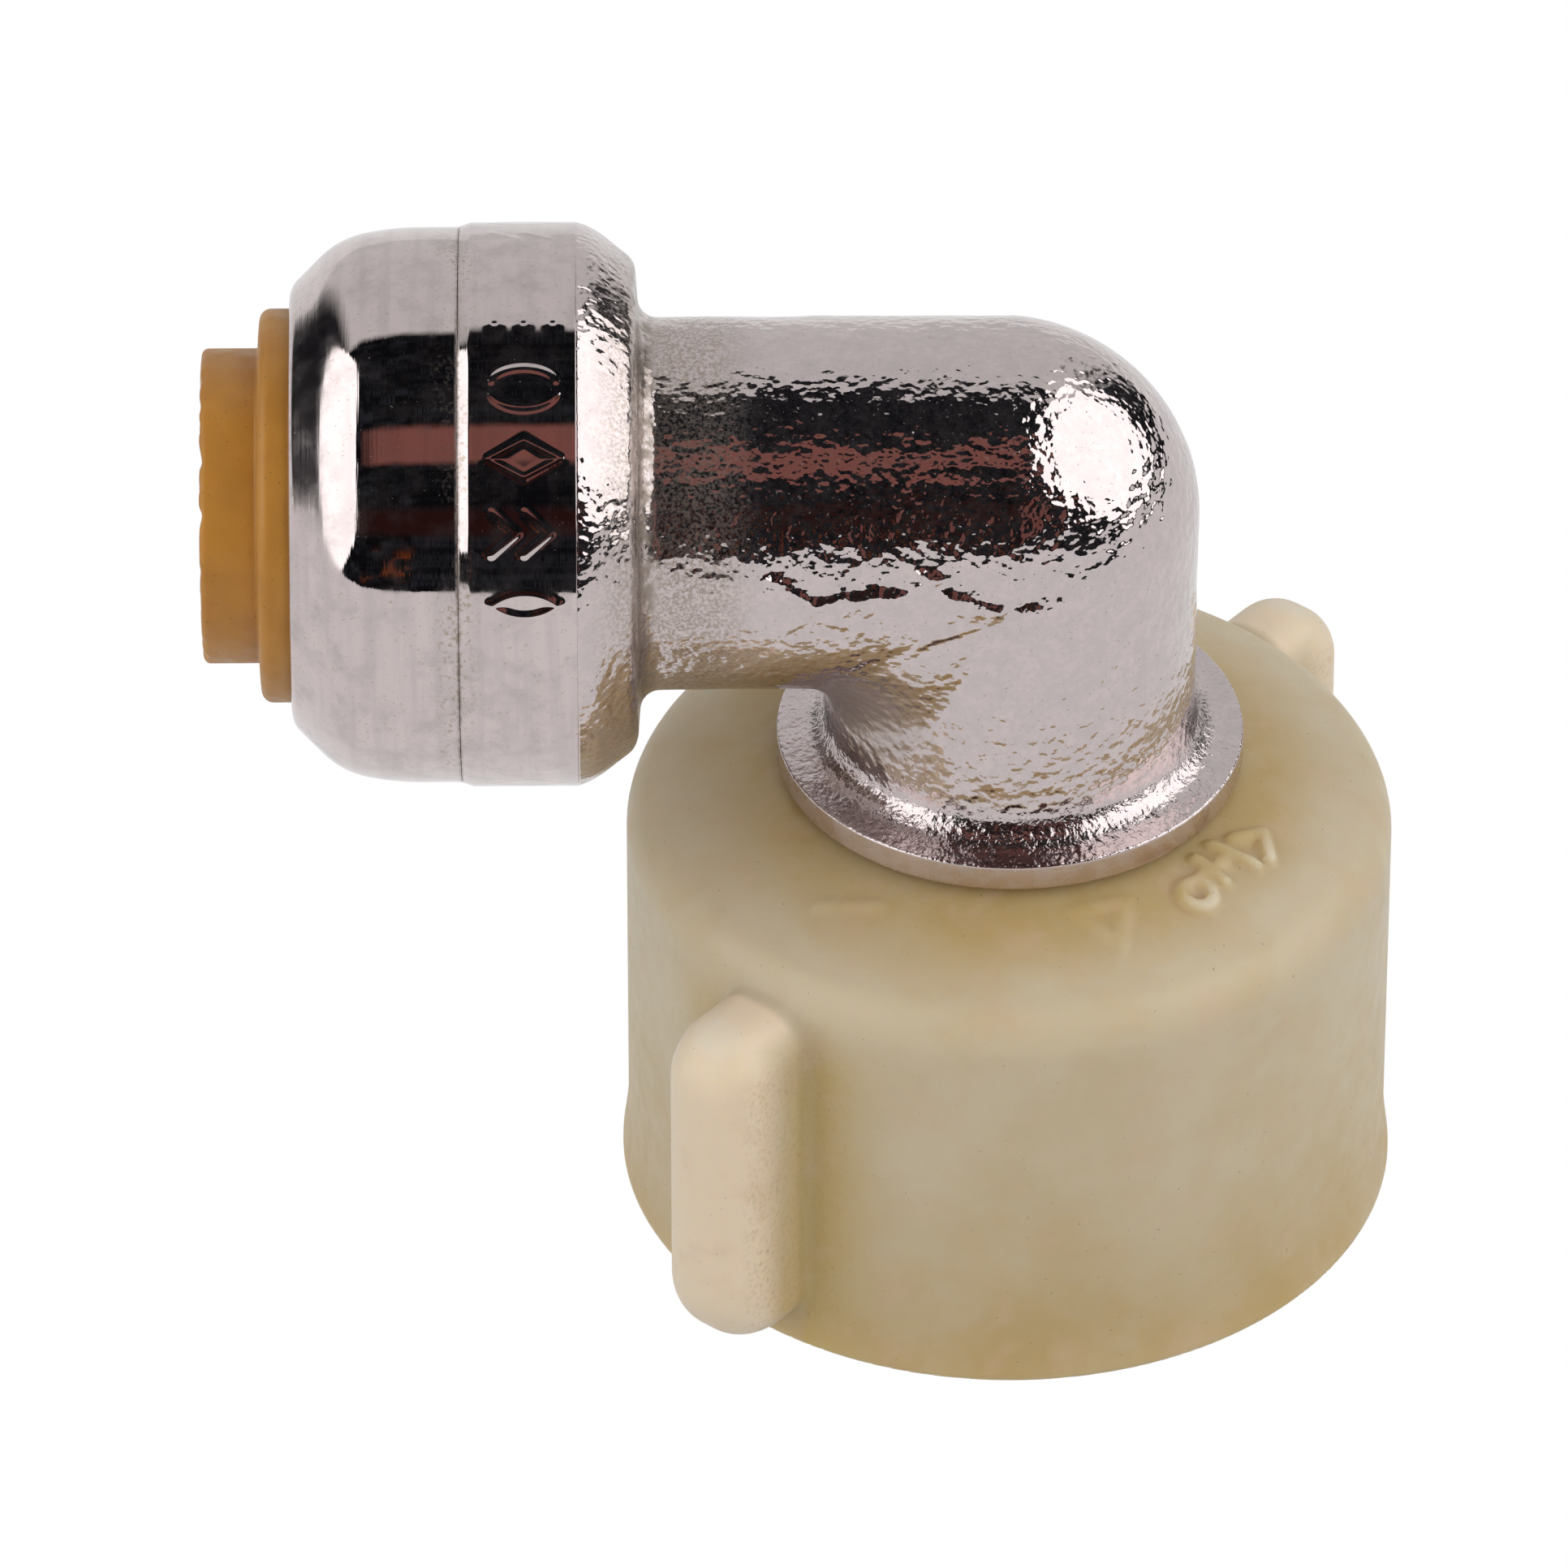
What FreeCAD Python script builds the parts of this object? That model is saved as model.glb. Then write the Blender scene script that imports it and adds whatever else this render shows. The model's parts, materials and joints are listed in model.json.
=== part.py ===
"""Push-to-connect elbow for a 3/8 in tube, with a 7/8 in swivel wing nut for a toilet fill valve.

Frame, in millimetres: the origin is at the centre of the nut's mouth, +Z runs up the nut and the
elbow's leg, and the tube port faces -X. Distances along the port are measured from the leg's axis
towards the port's mouth.
"""

import FreeCAD, Part
import math
import os

V = FreeCAD.Vector

# ---- driving dimensions ----

# tube port: nominal 1/4 in, which is 3/8 in outside diameter
TUBE_R = 9.525 / 2
TUBE_CLEARANCE = 0.1375
PORT_BORE_R = TUBE_R + TUBE_CLEARANCE

# elbow forging
ARM_R = 7.27
ARM_Z = 31.88
HEAD_R = 10.99
HEAD_REAR = 14.65
HEAD_REAR_ROUND = 2.4
HEAD_REAR_FILLET = 0.7
LIP_START = 21.05
LIP_END = 21.5
LIP_R = 10.82
CUP_R = 9.55
CUP_FLOOR = 17.4
SEAL_BORE_R = 6.9
SEAL_BORE_FLOOR = 15.2
TUBE_BORE_R = 4.85
TUBE_STOP = 11.5
WATERWAY_R = 3.6
DRILL_POINT = math.radians(59)
OVERRUN = 1.0

# small edge roundings, shared by several pieces
SHARP_ROUND = 0.12
EDGE_ROUND = 0.2
MOULDED_ROUND = 0.3

# leg, flange and tail
FLANGE_R = 9.2
FLANGE_BOTTOM = 19.8
FLANGE_THICK = 1.15
LEG_FILLET = 1.7
TAIL_R = 6.8
TAIL_STEP_R = 6.45
TAIL_STEP_Z = 13.95
TAIL_BOTTOM = 9.6
BARB_R = 6.75
BARB_HEIGHT = 0.5
TAIL_BORE_R = 4.25
CLIP_GROOVE_R = 6.15

# end cap
CAP_FACE = 28.1
CAP_SKIRT_R = 9.5
CAP_SKIRT_END = 17.5
CAP_CAVITY_R = 8.9
CAP_SHOULDER_R = 8.65
CAP_WALL = 1.4
CAP_HOLE_R = 7.85
CAP_FACE_R = 8.15
CAP_FACE_ROUND = 0.6
CAP_DOME_END = 24.8
CAP_DOME_ROUND = 5.0
CAP_CHAMFER_START = 26.3
CAP_CHAMFER_R = 10.27
CAP_CHAMFER_ROUND = 1.6

# release collar
COLLAR_END = 31.55
COLLAR_BARREL_R = 6.14
COLLAR_FLANGE_R = 7.68
COLLAR_FLANGE_END = 29.3
COLLAR_FLANGE_ROUND = 0.45
COLLAR_LIP_R = 8.45
COLLAR_LIP_THICK = 1.0
COLLAR_NOSE_R = 5.6
COLLAR_NOSE_ROOT_R = 6.9
COLLAR_NOSE_END = 23.65
PLAY = 0.1

# grip ring
GRIP_RIM_R = 8.85
GRIP_RIM_INNER_R = 8.0
GRIP_THICK = 0.3
GRIP_RIM_FRONT = 23.2
TOOTH_TIP_R = 4.62
TOOTH_LEAN = 1.15
TOOTH_COUNT = 12
TOOTH_GAP = 0.9
TOOTH_GIVE = 0.6

# seal pack
O_RING_SECTION_R = 1.02
O_RING_R = 5.82
O_RING_AT = 16.35
PROTECTOR_FRONT = 18.6
SEAL_PACK_BORE_R = 4.95
SEAL_PACK_R = 8.8

# tube liner
LINER_FLANGE_R = 4.75
LINER_FLANGE_THICK = 0.8
LINER_R = 3.1
LINER_BORE_R = 2.5
LINER_END = 20.0

# swivel nut: internal thread 15/16-14, the 7/8 in fill valve thread
THREAD_PITCH = 25.4 / 14
THREAD_MAJOR_R = 11.9
THREAD_MINOR_R = 11.15
THREAD_ROOT_FLAT = THREAD_PITCH / 10
THREAD_FLANK = math.radians(30)
THREAD_TOP = 9.4
THREAD_START_ANGLE = 37
THREAD_RELIEF = 0.5
MOUTH_R = 12.0
MOUTH_CHAMFER = 0.9
MOUTH_CHAMFER_R = 10.9
NUT_R = 15.15
NUT_FLARE_R = 15.45
NUT_FLARE_TOP = 2.7
NUT_FLARE_ROUND = 3.0
NUT_TOP = 19.7
NUT_CONE_INNER_R = 9.5
NUT_CONE_BOTTOM = 17.7
NUT_CONE_OUTER_R = 14.3
NUT_CONE_ROUND = 2.0
NUT_SHOULDER_DROP = 0.3
NUT_SHOULDER_ROUND = 1.1
NUT_RELIEF_R = 12.0
NUT_WEB_BOTTOM = 16.4
NUT_WEB_ROUND = 0.4
NUT_HOLE_R = 7.1

# nut wings
WING_COUNT = 2
WING_ANGLE = 230.1
WING_HALF_THICK = 2.03
WING_EDGE_R = 17.65
WING_LOW = 3.2
WING_HIGH = 14.57
WING_ROOT_R = 13.0
WING_ROUND_SHARE = 0.999
TOUCHING = 1e-6

# pieces in the nut
WASHER_INNER_R = 7.15
WASHER_R = 9.6
WASHER_THICK = 0.85
CLIP_INNER_R = 6.2
CLIP_R = 8.6
CLIP_THICK = 0.8
CLIP_BOTTOM = 14.0
CLIP_GAP = 3.2
CONE_INNER_R = 6.5
CONE_R = 10.6
CONE_TOP_R = 8.2
CONE_BOTTOM = 10.2
CONE_SHOULDER = 12.2
CONE_TOP = 13.9


# ---- helpers ----

def outline_wire(corners):
    """Closed wire in the XZ half-plane. A corner is (r, height) or (r, height, rounding radius)."""
    count = len(corners)
    ends = []
    for i, corner in enumerate(corners):
        here = V(corner[0], 0, corner[1])
        rounding = corner[2] if len(corner) > 2 else 0
        if not rounding:
            ends.append((here, None, here))
            continue
        before = V(corners[i - 1][0], 0, corners[i - 1][1]) - here
        after = V(corners[(i + 1) % count][0], 0, corners[(i + 1) % count][1]) - here
        before.normalize()
        after.normalize()
        half = before.getAngle(after) / 2
        reach = rounding / math.tan(half)
        inward = before + after
        inward.normalize()
        centre = here + inward * (rounding / math.sin(half))
        middle = centre - inward * rounding
        ends.append((here + before * reach, middle, here + after * reach))
    edges = []
    for i, (start, middle, end) in enumerate(ends):
        if middle is not None:
            edges.append(Part.Arc(start, middle, end).toShape())
        following = ends[(i + 1) % count][0]
        if end.distanceToPoint(following) > TOUCHING:
            edges.append(Part.LineSegment(end, following).toShape())
    return Part.Wire(edges)


def turned(corners, angle=360):
    """Solid turned about Z from an outline."""
    face = Part.Face(outline_wire(corners))
    return face.revolve(V(0, 0, 0), V(0, 0, 1), angle)


def on_port(solid):
    """Lays a solid turned about Z along the tube port: its height becomes the distance from the leg."""
    solid.rotate(V(0, 0, 0), V(0, 1, 0), -90)
    solid.translate(V(0, 0, ARM_Z))
    return solid


def drilled(radius, start, end):
    """A drilled hole's cutter from start up to end, with a drill point above it."""
    point = radius / math.tan(DRILL_POINT)
    return turned([(0, start), (radius, start), (radius, end), (0, end + point)])


# ---- elbow ----

def bend_outside():
    """The quarter ball that closes the outside of the bend."""
    ball = Part.makeSphere(ARM_R, V(0, 0, ARM_Z))
    return ball.common(Part.makeBox(ARM_R, 2 * ARM_R, ARM_R, V(0, -ARM_R, ARM_Z)))


def leg_and_tail():
    flange_top = FLANGE_BOTTOM + FLANGE_THICK
    groove_top = CLIP_BOTTOM + CLIP_THICK + PLAY / 2
    groove_bottom = CLIP_BOTTOM - PLAY / 2
    barb_top = TAIL_BOTTOM + BARB_HEIGHT
    return turned([
        (0, TAIL_BOTTOM),
        (BARB_R - BARB_HEIGHT / 2, TAIL_BOTTOM),
        (BARB_R, TAIL_BOTTOM + BARB_HEIGHT / 2),
        (BARB_R, barb_top),
        (TAIL_STEP_R, barb_top),
        (TAIL_STEP_R, groove_bottom),
        (CLIP_GROOVE_R, groove_bottom),
        (CLIP_GROOVE_R, groove_top),
        (TAIL_R, groove_top),
        (TAIL_R, FLANGE_BOTTOM),
        (FLANGE_R, FLANGE_BOTTOM, SHARP_ROUND),
        (FLANGE_R, flange_top, SHARP_ROUND),
        (ARM_R, flange_top, LEG_FILLET),
        (ARM_R, ARM_Z),
        (0, ARM_Z),
    ])


def arm_and_head():
    return on_port(turned([
        (0, 0),
        (ARM_R, 0),
        (ARM_R, HEAD_REAR, HEAD_REAR_FILLET),
        (HEAD_R, HEAD_REAR, HEAD_REAR_ROUND),
        (HEAD_R, LIP_START),
        (LIP_R, LIP_END),
        (0, LIP_END),
    ]))


def fitting_body():
    outside = leg_and_tail().fuse(arm_and_head()).fuse(bend_outside())
    port_bore = on_port(turned([
        (0, TUBE_STOP),
        (TUBE_BORE_R, TUBE_STOP),
        (TUBE_BORE_R, SEAL_BORE_FLOOR),
        (SEAL_BORE_R, SEAL_BORE_FLOOR),
        (SEAL_BORE_R, CUP_FLOOR, EDGE_ROUND),
        (CUP_R, CUP_FLOOR),
        (CUP_R, LIP_END + OVERRUN),
        (0, LIP_END + OVERRUN),
    ]))
    waterway = on_port(turned([
        (0, 0),
        (WATERWAY_R, 0),
        (WATERWAY_R, TUBE_STOP + OVERRUN),
        (0, TUBE_STOP + OVERRUN),
    ]))
    tail_bore = drilled(TAIL_BORE_R, TAIL_BOTTOM - OVERRUN, ARM_Z + WATERWAY_R / 2)
    solid = outside.cut(port_bore).cut(waterway).cut(tail_bore)
    return solid.removeSplitter()


# ---- head pieces ----

def end_cap():
    front_wall = CAP_FACE - CAP_WALL
    return on_port(turned([
        (CAP_CAVITY_R, CAP_SKIRT_END),
        (CAP_SKIRT_R, CAP_SKIRT_END),
        (CAP_SKIRT_R, LIP_END + PLAY / 4),
        (LIP_R, LIP_END + PLAY / 4),
        (LIP_R, CAP_DOME_END, CAP_DOME_ROUND),
        (CAP_CHAMFER_R, CAP_CHAMFER_START, CAP_CHAMFER_ROUND),
        (CAP_FACE_R, CAP_FACE, CAP_FACE_ROUND),
        (CAP_HOLE_R, CAP_FACE),
        (CAP_HOLE_R, front_wall),
        (CAP_SHOULDER_R, front_wall),
        (CAP_SHOULDER_R, GRIP_RIM_FRONT),
        (CAP_CAVITY_R, GRIP_RIM_FRONT),
    ]))


def release_collar():
    lip_front = CAP_FACE - CAP_WALL - PLAY
    lip_rear = lip_front - COLLAR_LIP_THICK
    return on_port(turned([
        (PORT_BORE_R, COLLAR_NOSE_END),
        (COLLAR_NOSE_R, COLLAR_NOSE_END, EDGE_ROUND),
        (COLLAR_NOSE_ROOT_R, lip_rear),
        (COLLAR_LIP_R, lip_rear, SHARP_ROUND),
        (COLLAR_LIP_R, lip_front, SHARP_ROUND),
        (COLLAR_FLANGE_R, lip_front),
        (COLLAR_FLANGE_R, COLLAR_FLANGE_END, COLLAR_FLANGE_ROUND),
        (COLLAR_BARREL_R, COLLAR_FLANGE_END, SHARP_ROUND),
        (COLLAR_BARREL_R, COLLAR_END, EDGE_ROUND),
        (PORT_BORE_R, COLLAR_END),
    ]))


def grip_ring():
    """Sheet steel rim with teeth that lean away from the port's mouth."""
    rim_back = GRIP_RIM_FRONT - GRIP_THICK
    ring = turned([
        (GRIP_RIM_INNER_R, rim_back),
        (GRIP_RIM_R, rim_back),
        (GRIP_RIM_R, GRIP_RIM_FRONT),
        (GRIP_RIM_INNER_R, GRIP_RIM_FRONT),
        (TOOTH_TIP_R, GRIP_RIM_FRONT - TOOTH_LEAN),
        (TOOTH_TIP_R, rim_back - TOOTH_LEAN),
    ])
    slots = []
    for i in range(TOOTH_COUNT):
        slot = Part.makeBox(GRIP_RIM_INNER_R, TOOTH_GAP, 4 * TOOTH_LEAN,
                            V(0, -TOOTH_GAP / 2, GRIP_RIM_FRONT - 3 * TOOTH_LEAN))
        slot.rotate(V(0, 0, 0), V(0, 0, 1), 360 / TOOTH_COUNT * (i + 0.5))
        slots.append(slot)
    return on_port(ring.cut(slots))


def grip_ring_seat():
    """Plastic ring whose coned front backs the teeth."""
    front = GRIP_RIM_FRONT - GRIP_THICK
    tooth_slope = TOOTH_LEAN / (GRIP_RIM_INNER_R - TOOTH_TIP_R)
    cone_front = front - tooth_slope * (GRIP_RIM_INNER_R - SEAL_PACK_BORE_R) - TOOTH_GIVE
    return on_port(turned([
        (SEAL_PACK_BORE_R, PROTECTOR_FRONT),
        (SEAL_PACK_R, PROTECTOR_FRONT),
        (SEAL_PACK_R, front),
        (GRIP_RIM_INNER_R, front),
        (SEAL_PACK_BORE_R, cone_front),
    ]))


def o_ring_protector():
    back = CUP_FLOOR + PLAY / 2
    return on_port(turned([
        (SEAL_PACK_BORE_R, back),
        (SEAL_PACK_R, back),
        (SEAL_PACK_R, PROTECTOR_FRONT),
        (SEAL_PACK_BORE_R, PROTECTOR_FRONT),
    ]))


def o_ring():
    return on_port(Part.makeTorus(O_RING_R, O_RING_SECTION_R, V(0, 0, O_RING_AT)))


def tube_liner():
    flange_front = TUBE_STOP + LINER_FLANGE_THICK
    return on_port(turned([
        (LINER_BORE_R, TUBE_STOP),
        (LINER_FLANGE_R, TUBE_STOP),
        (LINER_FLANGE_R, flange_front),
        (LINER_R, flange_front),
        (LINER_R, LINER_END, EDGE_ROUND),
        (LINER_BORE_R, LINER_END, EDGE_ROUND),
    ]))


# ---- swivel nut and the pieces inside it ----

def wing():
    """Slab with fully rounded edges, along +X from inside the nut's wall."""
    half = WING_HALF_THICK
    rounding = half * WING_ROUND_SHARE
    edge = turned([
        (0, WING_LOW - half),
        (half, WING_LOW - half, rounding),
        (half, WING_HIGH + half, rounding),
        (0, WING_HIGH + half),
    ], 180)
    edge.rotate(V(0, 0, 0), V(0, 0, 1), -90)
    edge.translate(V(WING_EDGE_R, 0, 0))
    inner_side = [
        face for face in edge.Faces
        if isinstance(face.Surface, Part.Plane) and face.CenterOfMass.x < WING_EDGE_R + TOUCHING
    ]
    slab = Part.makeCompound(inner_side).extrude(V(WING_ROOT_R - WING_EDGE_R, 0, 0))
    return edge.fuse(slab.Solids)


def thread_cutter():
    """Helical cutter for the internal thread, from below the mouth to above the thread's top."""
    turns_start = -2 * THREAD_PITCH
    height = THREAD_TOP - turns_start + THREAD_PITCH
    inside_r = THREAD_MINOR_R - MOULDED_ROUND
    root_half = THREAD_ROOT_FLAT / 2
    inside_half = root_half + (THREAD_MAJOR_R - inside_r) * math.tan(THREAD_FLANK)
    tooth = Part.makePolygon([
        V(inside_r, 0, -inside_half),
        V(THREAD_MAJOR_R, 0, -root_half),
        V(THREAD_MAJOR_R, 0, root_half),
        V(inside_r, 0, inside_half),
        V(inside_r, 0, -inside_half),
    ])
    helix = Part.makeHelix(THREAD_PITCH, height, THREAD_MINOR_R)
    sweep = Part.BRepOffsetAPI.MakePipeShell(Part.Wire(helix.Edges))
    sweep.setFrenetMode(True)
    sweep.add(tooth)
    sweep.build()
    sweep.makeSolid()
    cutter = sweep.shape()
    cutter.rotate(V(0, 0, 0), V(0, 0, 1), THREAD_START_ANGLE)
    cutter.translate(V(0, 0, turns_start))
    return cutter


def swivel_nut():
    recess_top = NUT_WEB_BOTTOM + WASHER_THICK
    recess_r = WASHER_R + 2 * PLAY
    shell = turned([
        (THREAD_MINOR_R, 0),
        (NUT_FLARE_R, 0, EDGE_ROUND),
        (NUT_R, NUT_FLARE_TOP, NUT_FLARE_ROUND),
        (NUT_R, NUT_CONE_BOTTOM - NUT_SHOULDER_DROP, NUT_SHOULDER_ROUND),
        (NUT_CONE_OUTER_R, NUT_CONE_BOTTOM),
        (NUT_CONE_INNER_R, NUT_TOP, NUT_CONE_ROUND),
        (NUT_HOLE_R, NUT_TOP),
        (NUT_HOLE_R, recess_top),
        (recess_r, recess_top),
        (recess_r, NUT_WEB_BOTTOM),
        (NUT_RELIEF_R, NUT_WEB_BOTTOM, NUT_WEB_ROUND),
        (NUT_RELIEF_R, THREAD_TOP + THREAD_RELIEF),
        (THREAD_MINOR_R, THREAD_TOP),
    ])
    for i in range(WING_COUNT):
        blade = wing()
        blade.rotate(V(0, 0, 0), V(0, 0, 1), WING_ANGLE + 360 / WING_COUNT * i)
        shell = shell.fuse(blade)
    mouth = turned([
        (0, -OVERRUN),
        (MOUTH_R, -OVERRUN),
        (MOUTH_R, 0),
        (MOUTH_CHAMFER_R, MOUTH_CHAMFER),
        (0, MOUTH_CHAMFER),
    ])
    return shell.cut(thread_cutter()).cut(mouth).removeSplitter()


def thrust_washer():
    bottom = NUT_WEB_BOTTOM - PLAY / 2
    top = bottom + WASHER_THICK
    return turned([
        (WASHER_INNER_R, bottom),
        (WASHER_R, bottom, SHARP_ROUND),
        (WASHER_R, top, SHARP_ROUND),
        (WASHER_INNER_R, top),
    ])


def retaining_clip():
    """Split ring in the tail's groove, which carries the washer and the nut."""
    top = CLIP_BOTTOM + CLIP_THICK
    ring = turned([
        (CLIP_INNER_R, CLIP_BOTTOM),
        (CLIP_R, CLIP_BOTTOM, SHARP_ROUND),
        (CLIP_R, top, SHARP_ROUND),
        (CLIP_INNER_R, top),
    ])
    gap_corner = V(0, -CLIP_GAP / 2, CLIP_BOTTOM - OVERRUN)
    gap = Part.makeBox(CLIP_R + OVERRUN, CLIP_GAP, CLIP_THICK + 2 * OVERRUN, gap_corner)
    return ring.cut(gap)


def cone_washer():
    """Rubber washer that the fill valve's shank seals on."""
    return turned([
        (CONE_INNER_R, CONE_BOTTOM),
        (CONE_TOP_R, CONE_BOTTOM, MOULDED_ROUND),
        (CONE_R, CONE_SHOULDER, MOULDED_ROUND),
        (CONE_R, CONE_TOP, MOULDED_ROUND),
        (CONE_INNER_R, CONE_TOP),
    ])


NODES = {
    "fitting_body": fitting_body,
    "end_cap": end_cap,
    "release_collar": release_collar,
    "grip_ring": grip_ring,
    "grip_ring_seat": grip_ring_seat,
    "o_ring_protector": o_ring_protector,
    "o_ring": o_ring,
    "tube_liner": tube_liner,
    "swivel_nut": swivel_nut,
    "thrust_washer": thrust_washer,
    "retaining_clip": retaining_clip,
    "cone_washer": cone_washer,
}

os.makedirs("parts", exist_ok=True)
for name, build in NODES.items():
    shape = build()
    solids = shape.Solids
    if len(solids) != 1 or not shape.isValid():
        raise ValueError(f"{name}: {len(solids)} solids, valid {shape.isValid()}")
    solids[0].exportStep(f"parts/{name}.step")
    print(f"{name}: {solids[0].Volume:.1f} mm3")
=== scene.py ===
"""Looks for a push-to-connect elbow with a swivel wing nut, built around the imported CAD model.

Lengths below are in millimetres in the CAD model's frame, and become metres when a mesh is made.
The port's axis runs along -X at height ARM_Z; a place along it is its distance from the leg's axis.
"""

import functools
import json
import math

import bpy
import numpy as np
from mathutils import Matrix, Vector


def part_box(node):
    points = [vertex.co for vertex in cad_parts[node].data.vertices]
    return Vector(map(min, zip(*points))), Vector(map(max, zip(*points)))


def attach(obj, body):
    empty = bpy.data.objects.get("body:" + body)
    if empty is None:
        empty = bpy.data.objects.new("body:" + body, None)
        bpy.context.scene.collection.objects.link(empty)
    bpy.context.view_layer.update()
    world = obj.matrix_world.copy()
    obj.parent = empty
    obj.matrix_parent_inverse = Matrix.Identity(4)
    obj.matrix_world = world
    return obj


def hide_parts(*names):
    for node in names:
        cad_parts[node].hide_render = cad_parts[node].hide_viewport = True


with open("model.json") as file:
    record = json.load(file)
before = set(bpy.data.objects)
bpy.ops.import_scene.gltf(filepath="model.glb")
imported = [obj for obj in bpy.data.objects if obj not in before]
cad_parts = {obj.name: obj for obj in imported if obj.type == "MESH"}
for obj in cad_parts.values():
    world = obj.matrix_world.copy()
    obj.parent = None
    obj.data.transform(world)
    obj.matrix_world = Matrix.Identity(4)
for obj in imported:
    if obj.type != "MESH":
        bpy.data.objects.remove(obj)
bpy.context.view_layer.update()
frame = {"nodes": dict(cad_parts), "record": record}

MM = 0.001
NODES = frame["nodes"]


def box_mm(node):
    low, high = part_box(node)
    return np.array(low) / MM, np.array(high) / MM


# ---- places taken from the frame ----

MOUNTS = {mount["name"]: mount for mount in frame["record"]["mounts"]}
ARM_Z = MOUNTS["tube_port"]["pos_m"][2] / MM
BODY_LOW, BODY_HIGH = box_mm("fitting_body")
NUT_LOW, NUT_HIGH = box_mm("swivel_nut")

LIP_END = -BODY_LOW[0]
FLANGE_R = BODY_HIGH[0]
HEAD_R = BODY_HIGH[1]
TAIL_BOTTOM = BODY_LOW[2]
ARM_R = BODY_HIGH[2] - ARM_Z - (HEAD_R - 7.27)
CAP_FACE = -box_mm("end_cap")[0][0]
COLLAR_END = -box_mm("release_collar")[0][0]
NUT_TOP = NUT_HIGH[2]
THREAD_R = MOUNTS["nut_thread"]["dims"]["r_mm"]
PORT_BORE_R = MOUNTS["tube_port"]["dims"]["r_mm"]

# ---- the rest of the sizes, in the CAD model's own terms ----

HEAD_REAR = 14.65
BAND_START = 16.95
LIP_START = 21.05
LIP_R = 10.82
CUP_R = 9.55
CUP_FLOOR = 17.4
SEAL_BORE_R = 6.9
SEAL_BORE_FLOOR = 15.2
TUBE_BORE_R = 4.85
TUBE_STOP = 11.5
WATERWAY_R = 3.6

FLANGE_BOTTOM = 19.8
FLANGE_TOP = 20.95
TAIL_R = 6.8
TAIL_STEP_R = 6.45
TAIL_STEP_Z = 13.95
TAIL_BORE_R = 4.25
CLIP_GROOVE_R = 6.15
CLIP_GROOVE_TOP = 14.85
BARB_R = 6.75
BARB_TOP = 10.1

CAP_SKIRT_R = 9.5
CAP_SKIRT_END = 17.5
CAP_CAVITY_R = 8.9
CAP_SHOULDER_R = 8.65
CAP_SHOULDER = 23.2
CAP_HOLE_R = 7.85
CAP_WALL = 1.4

COLLAR_BARREL_R = 6.14
COLLAR_FLANGE_R = 7.68
COLLAR_FLANGE_END = 29.3
COLLAR_LIP_R = 8.45
COLLAR_LIP_START = 25.6
COLLAR_LIP_END = 26.6
COLLAR_NOSE_R = 5.6
COLLAR_NOSE_END = 23.65

THREAD_PITCH = 25.4 / 14
THREAD_DEPTH = 0.75
THREAD_TOP = 9.4
THREAD_LINING_R = 12.4

NUT_R = 15.15
NUT_FLARE = 0.3
NUT_FLARE_TOP = 2.9
NUT_CONE_R = 9.5
NUT_TILT = math.atan2(2.0, 4.8)
NUT_LINED_R = 12.1
NUT_LINED_TOP = 10.0
NUT_RELIEF_R = 12.0
NUT_WEB_BOTTOM = 16.4
NUT_RECESS_R = 9.8
NUT_RECESS_TOP = 17.25
NUT_HOLE_R = 7.1
WING_DIRECTION = math.radians(230.1)
WING_HALF = 2.03
WING_END = 19.68
WING_MIDDLE = 8.885
WING_HALF_HEIGHT = 7.715
WING_EDGE_ROUND = 1.75


# ---- numeric helpers ----

def smooth(low, high, value):
    """0 below low, 1 above high and a smooth step between them."""
    t = np.clip((value - low) / (high - low), 0, 1)
    return t * t * (3 - 2 * t)


def hashed(cells, seed):
    """A repeatable value from -1 to 1 for each whole-number cell."""
    x, y, z = np.moveaxis(cells, -1, 0)
    mixed = x * 73856093 ^ y * 19349663 ^ z * 83492791 ^ seed * 2654435
    mixed = (mixed ^ (mixed >> 13)) * 1274126177
    mixed = mixed ^ (mixed >> 16)
    return (mixed & 0xFFFF) / 32767.5 - 1


def noise(points, size, seed):
    """Smooth noise from -1 to 1 whose lumps are about size millimetres across."""
    scaled = points / size
    cells = np.floor(scaled).astype(np.int64)
    part = scaled - cells
    part = part * part * part * (part * (part * 6 - 15) + 10)
    total = 0
    for corner in np.ndindex(2, 2, 2):
        weight = np.prod(np.where(np.array(corner) == 1, part, 1 - part), axis=-1)
        total = total + weight * hashed(cells + np.array(corner), seed)
    return total


def joined(a, b, rounding):
    """Union of two distances with a rounded inside corner."""
    reach = np.sqrt(np.maximum(rounding - a, 0) ** 2 + np.maximum(rounding - b, 0) ** 2)
    return np.maximum(rounding, np.minimum(a, b)) - reach


def common(a, b, rounding):
    """Intersection of two distances with a rounded outside corner."""
    return -joined(-a, -b, rounding)


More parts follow.
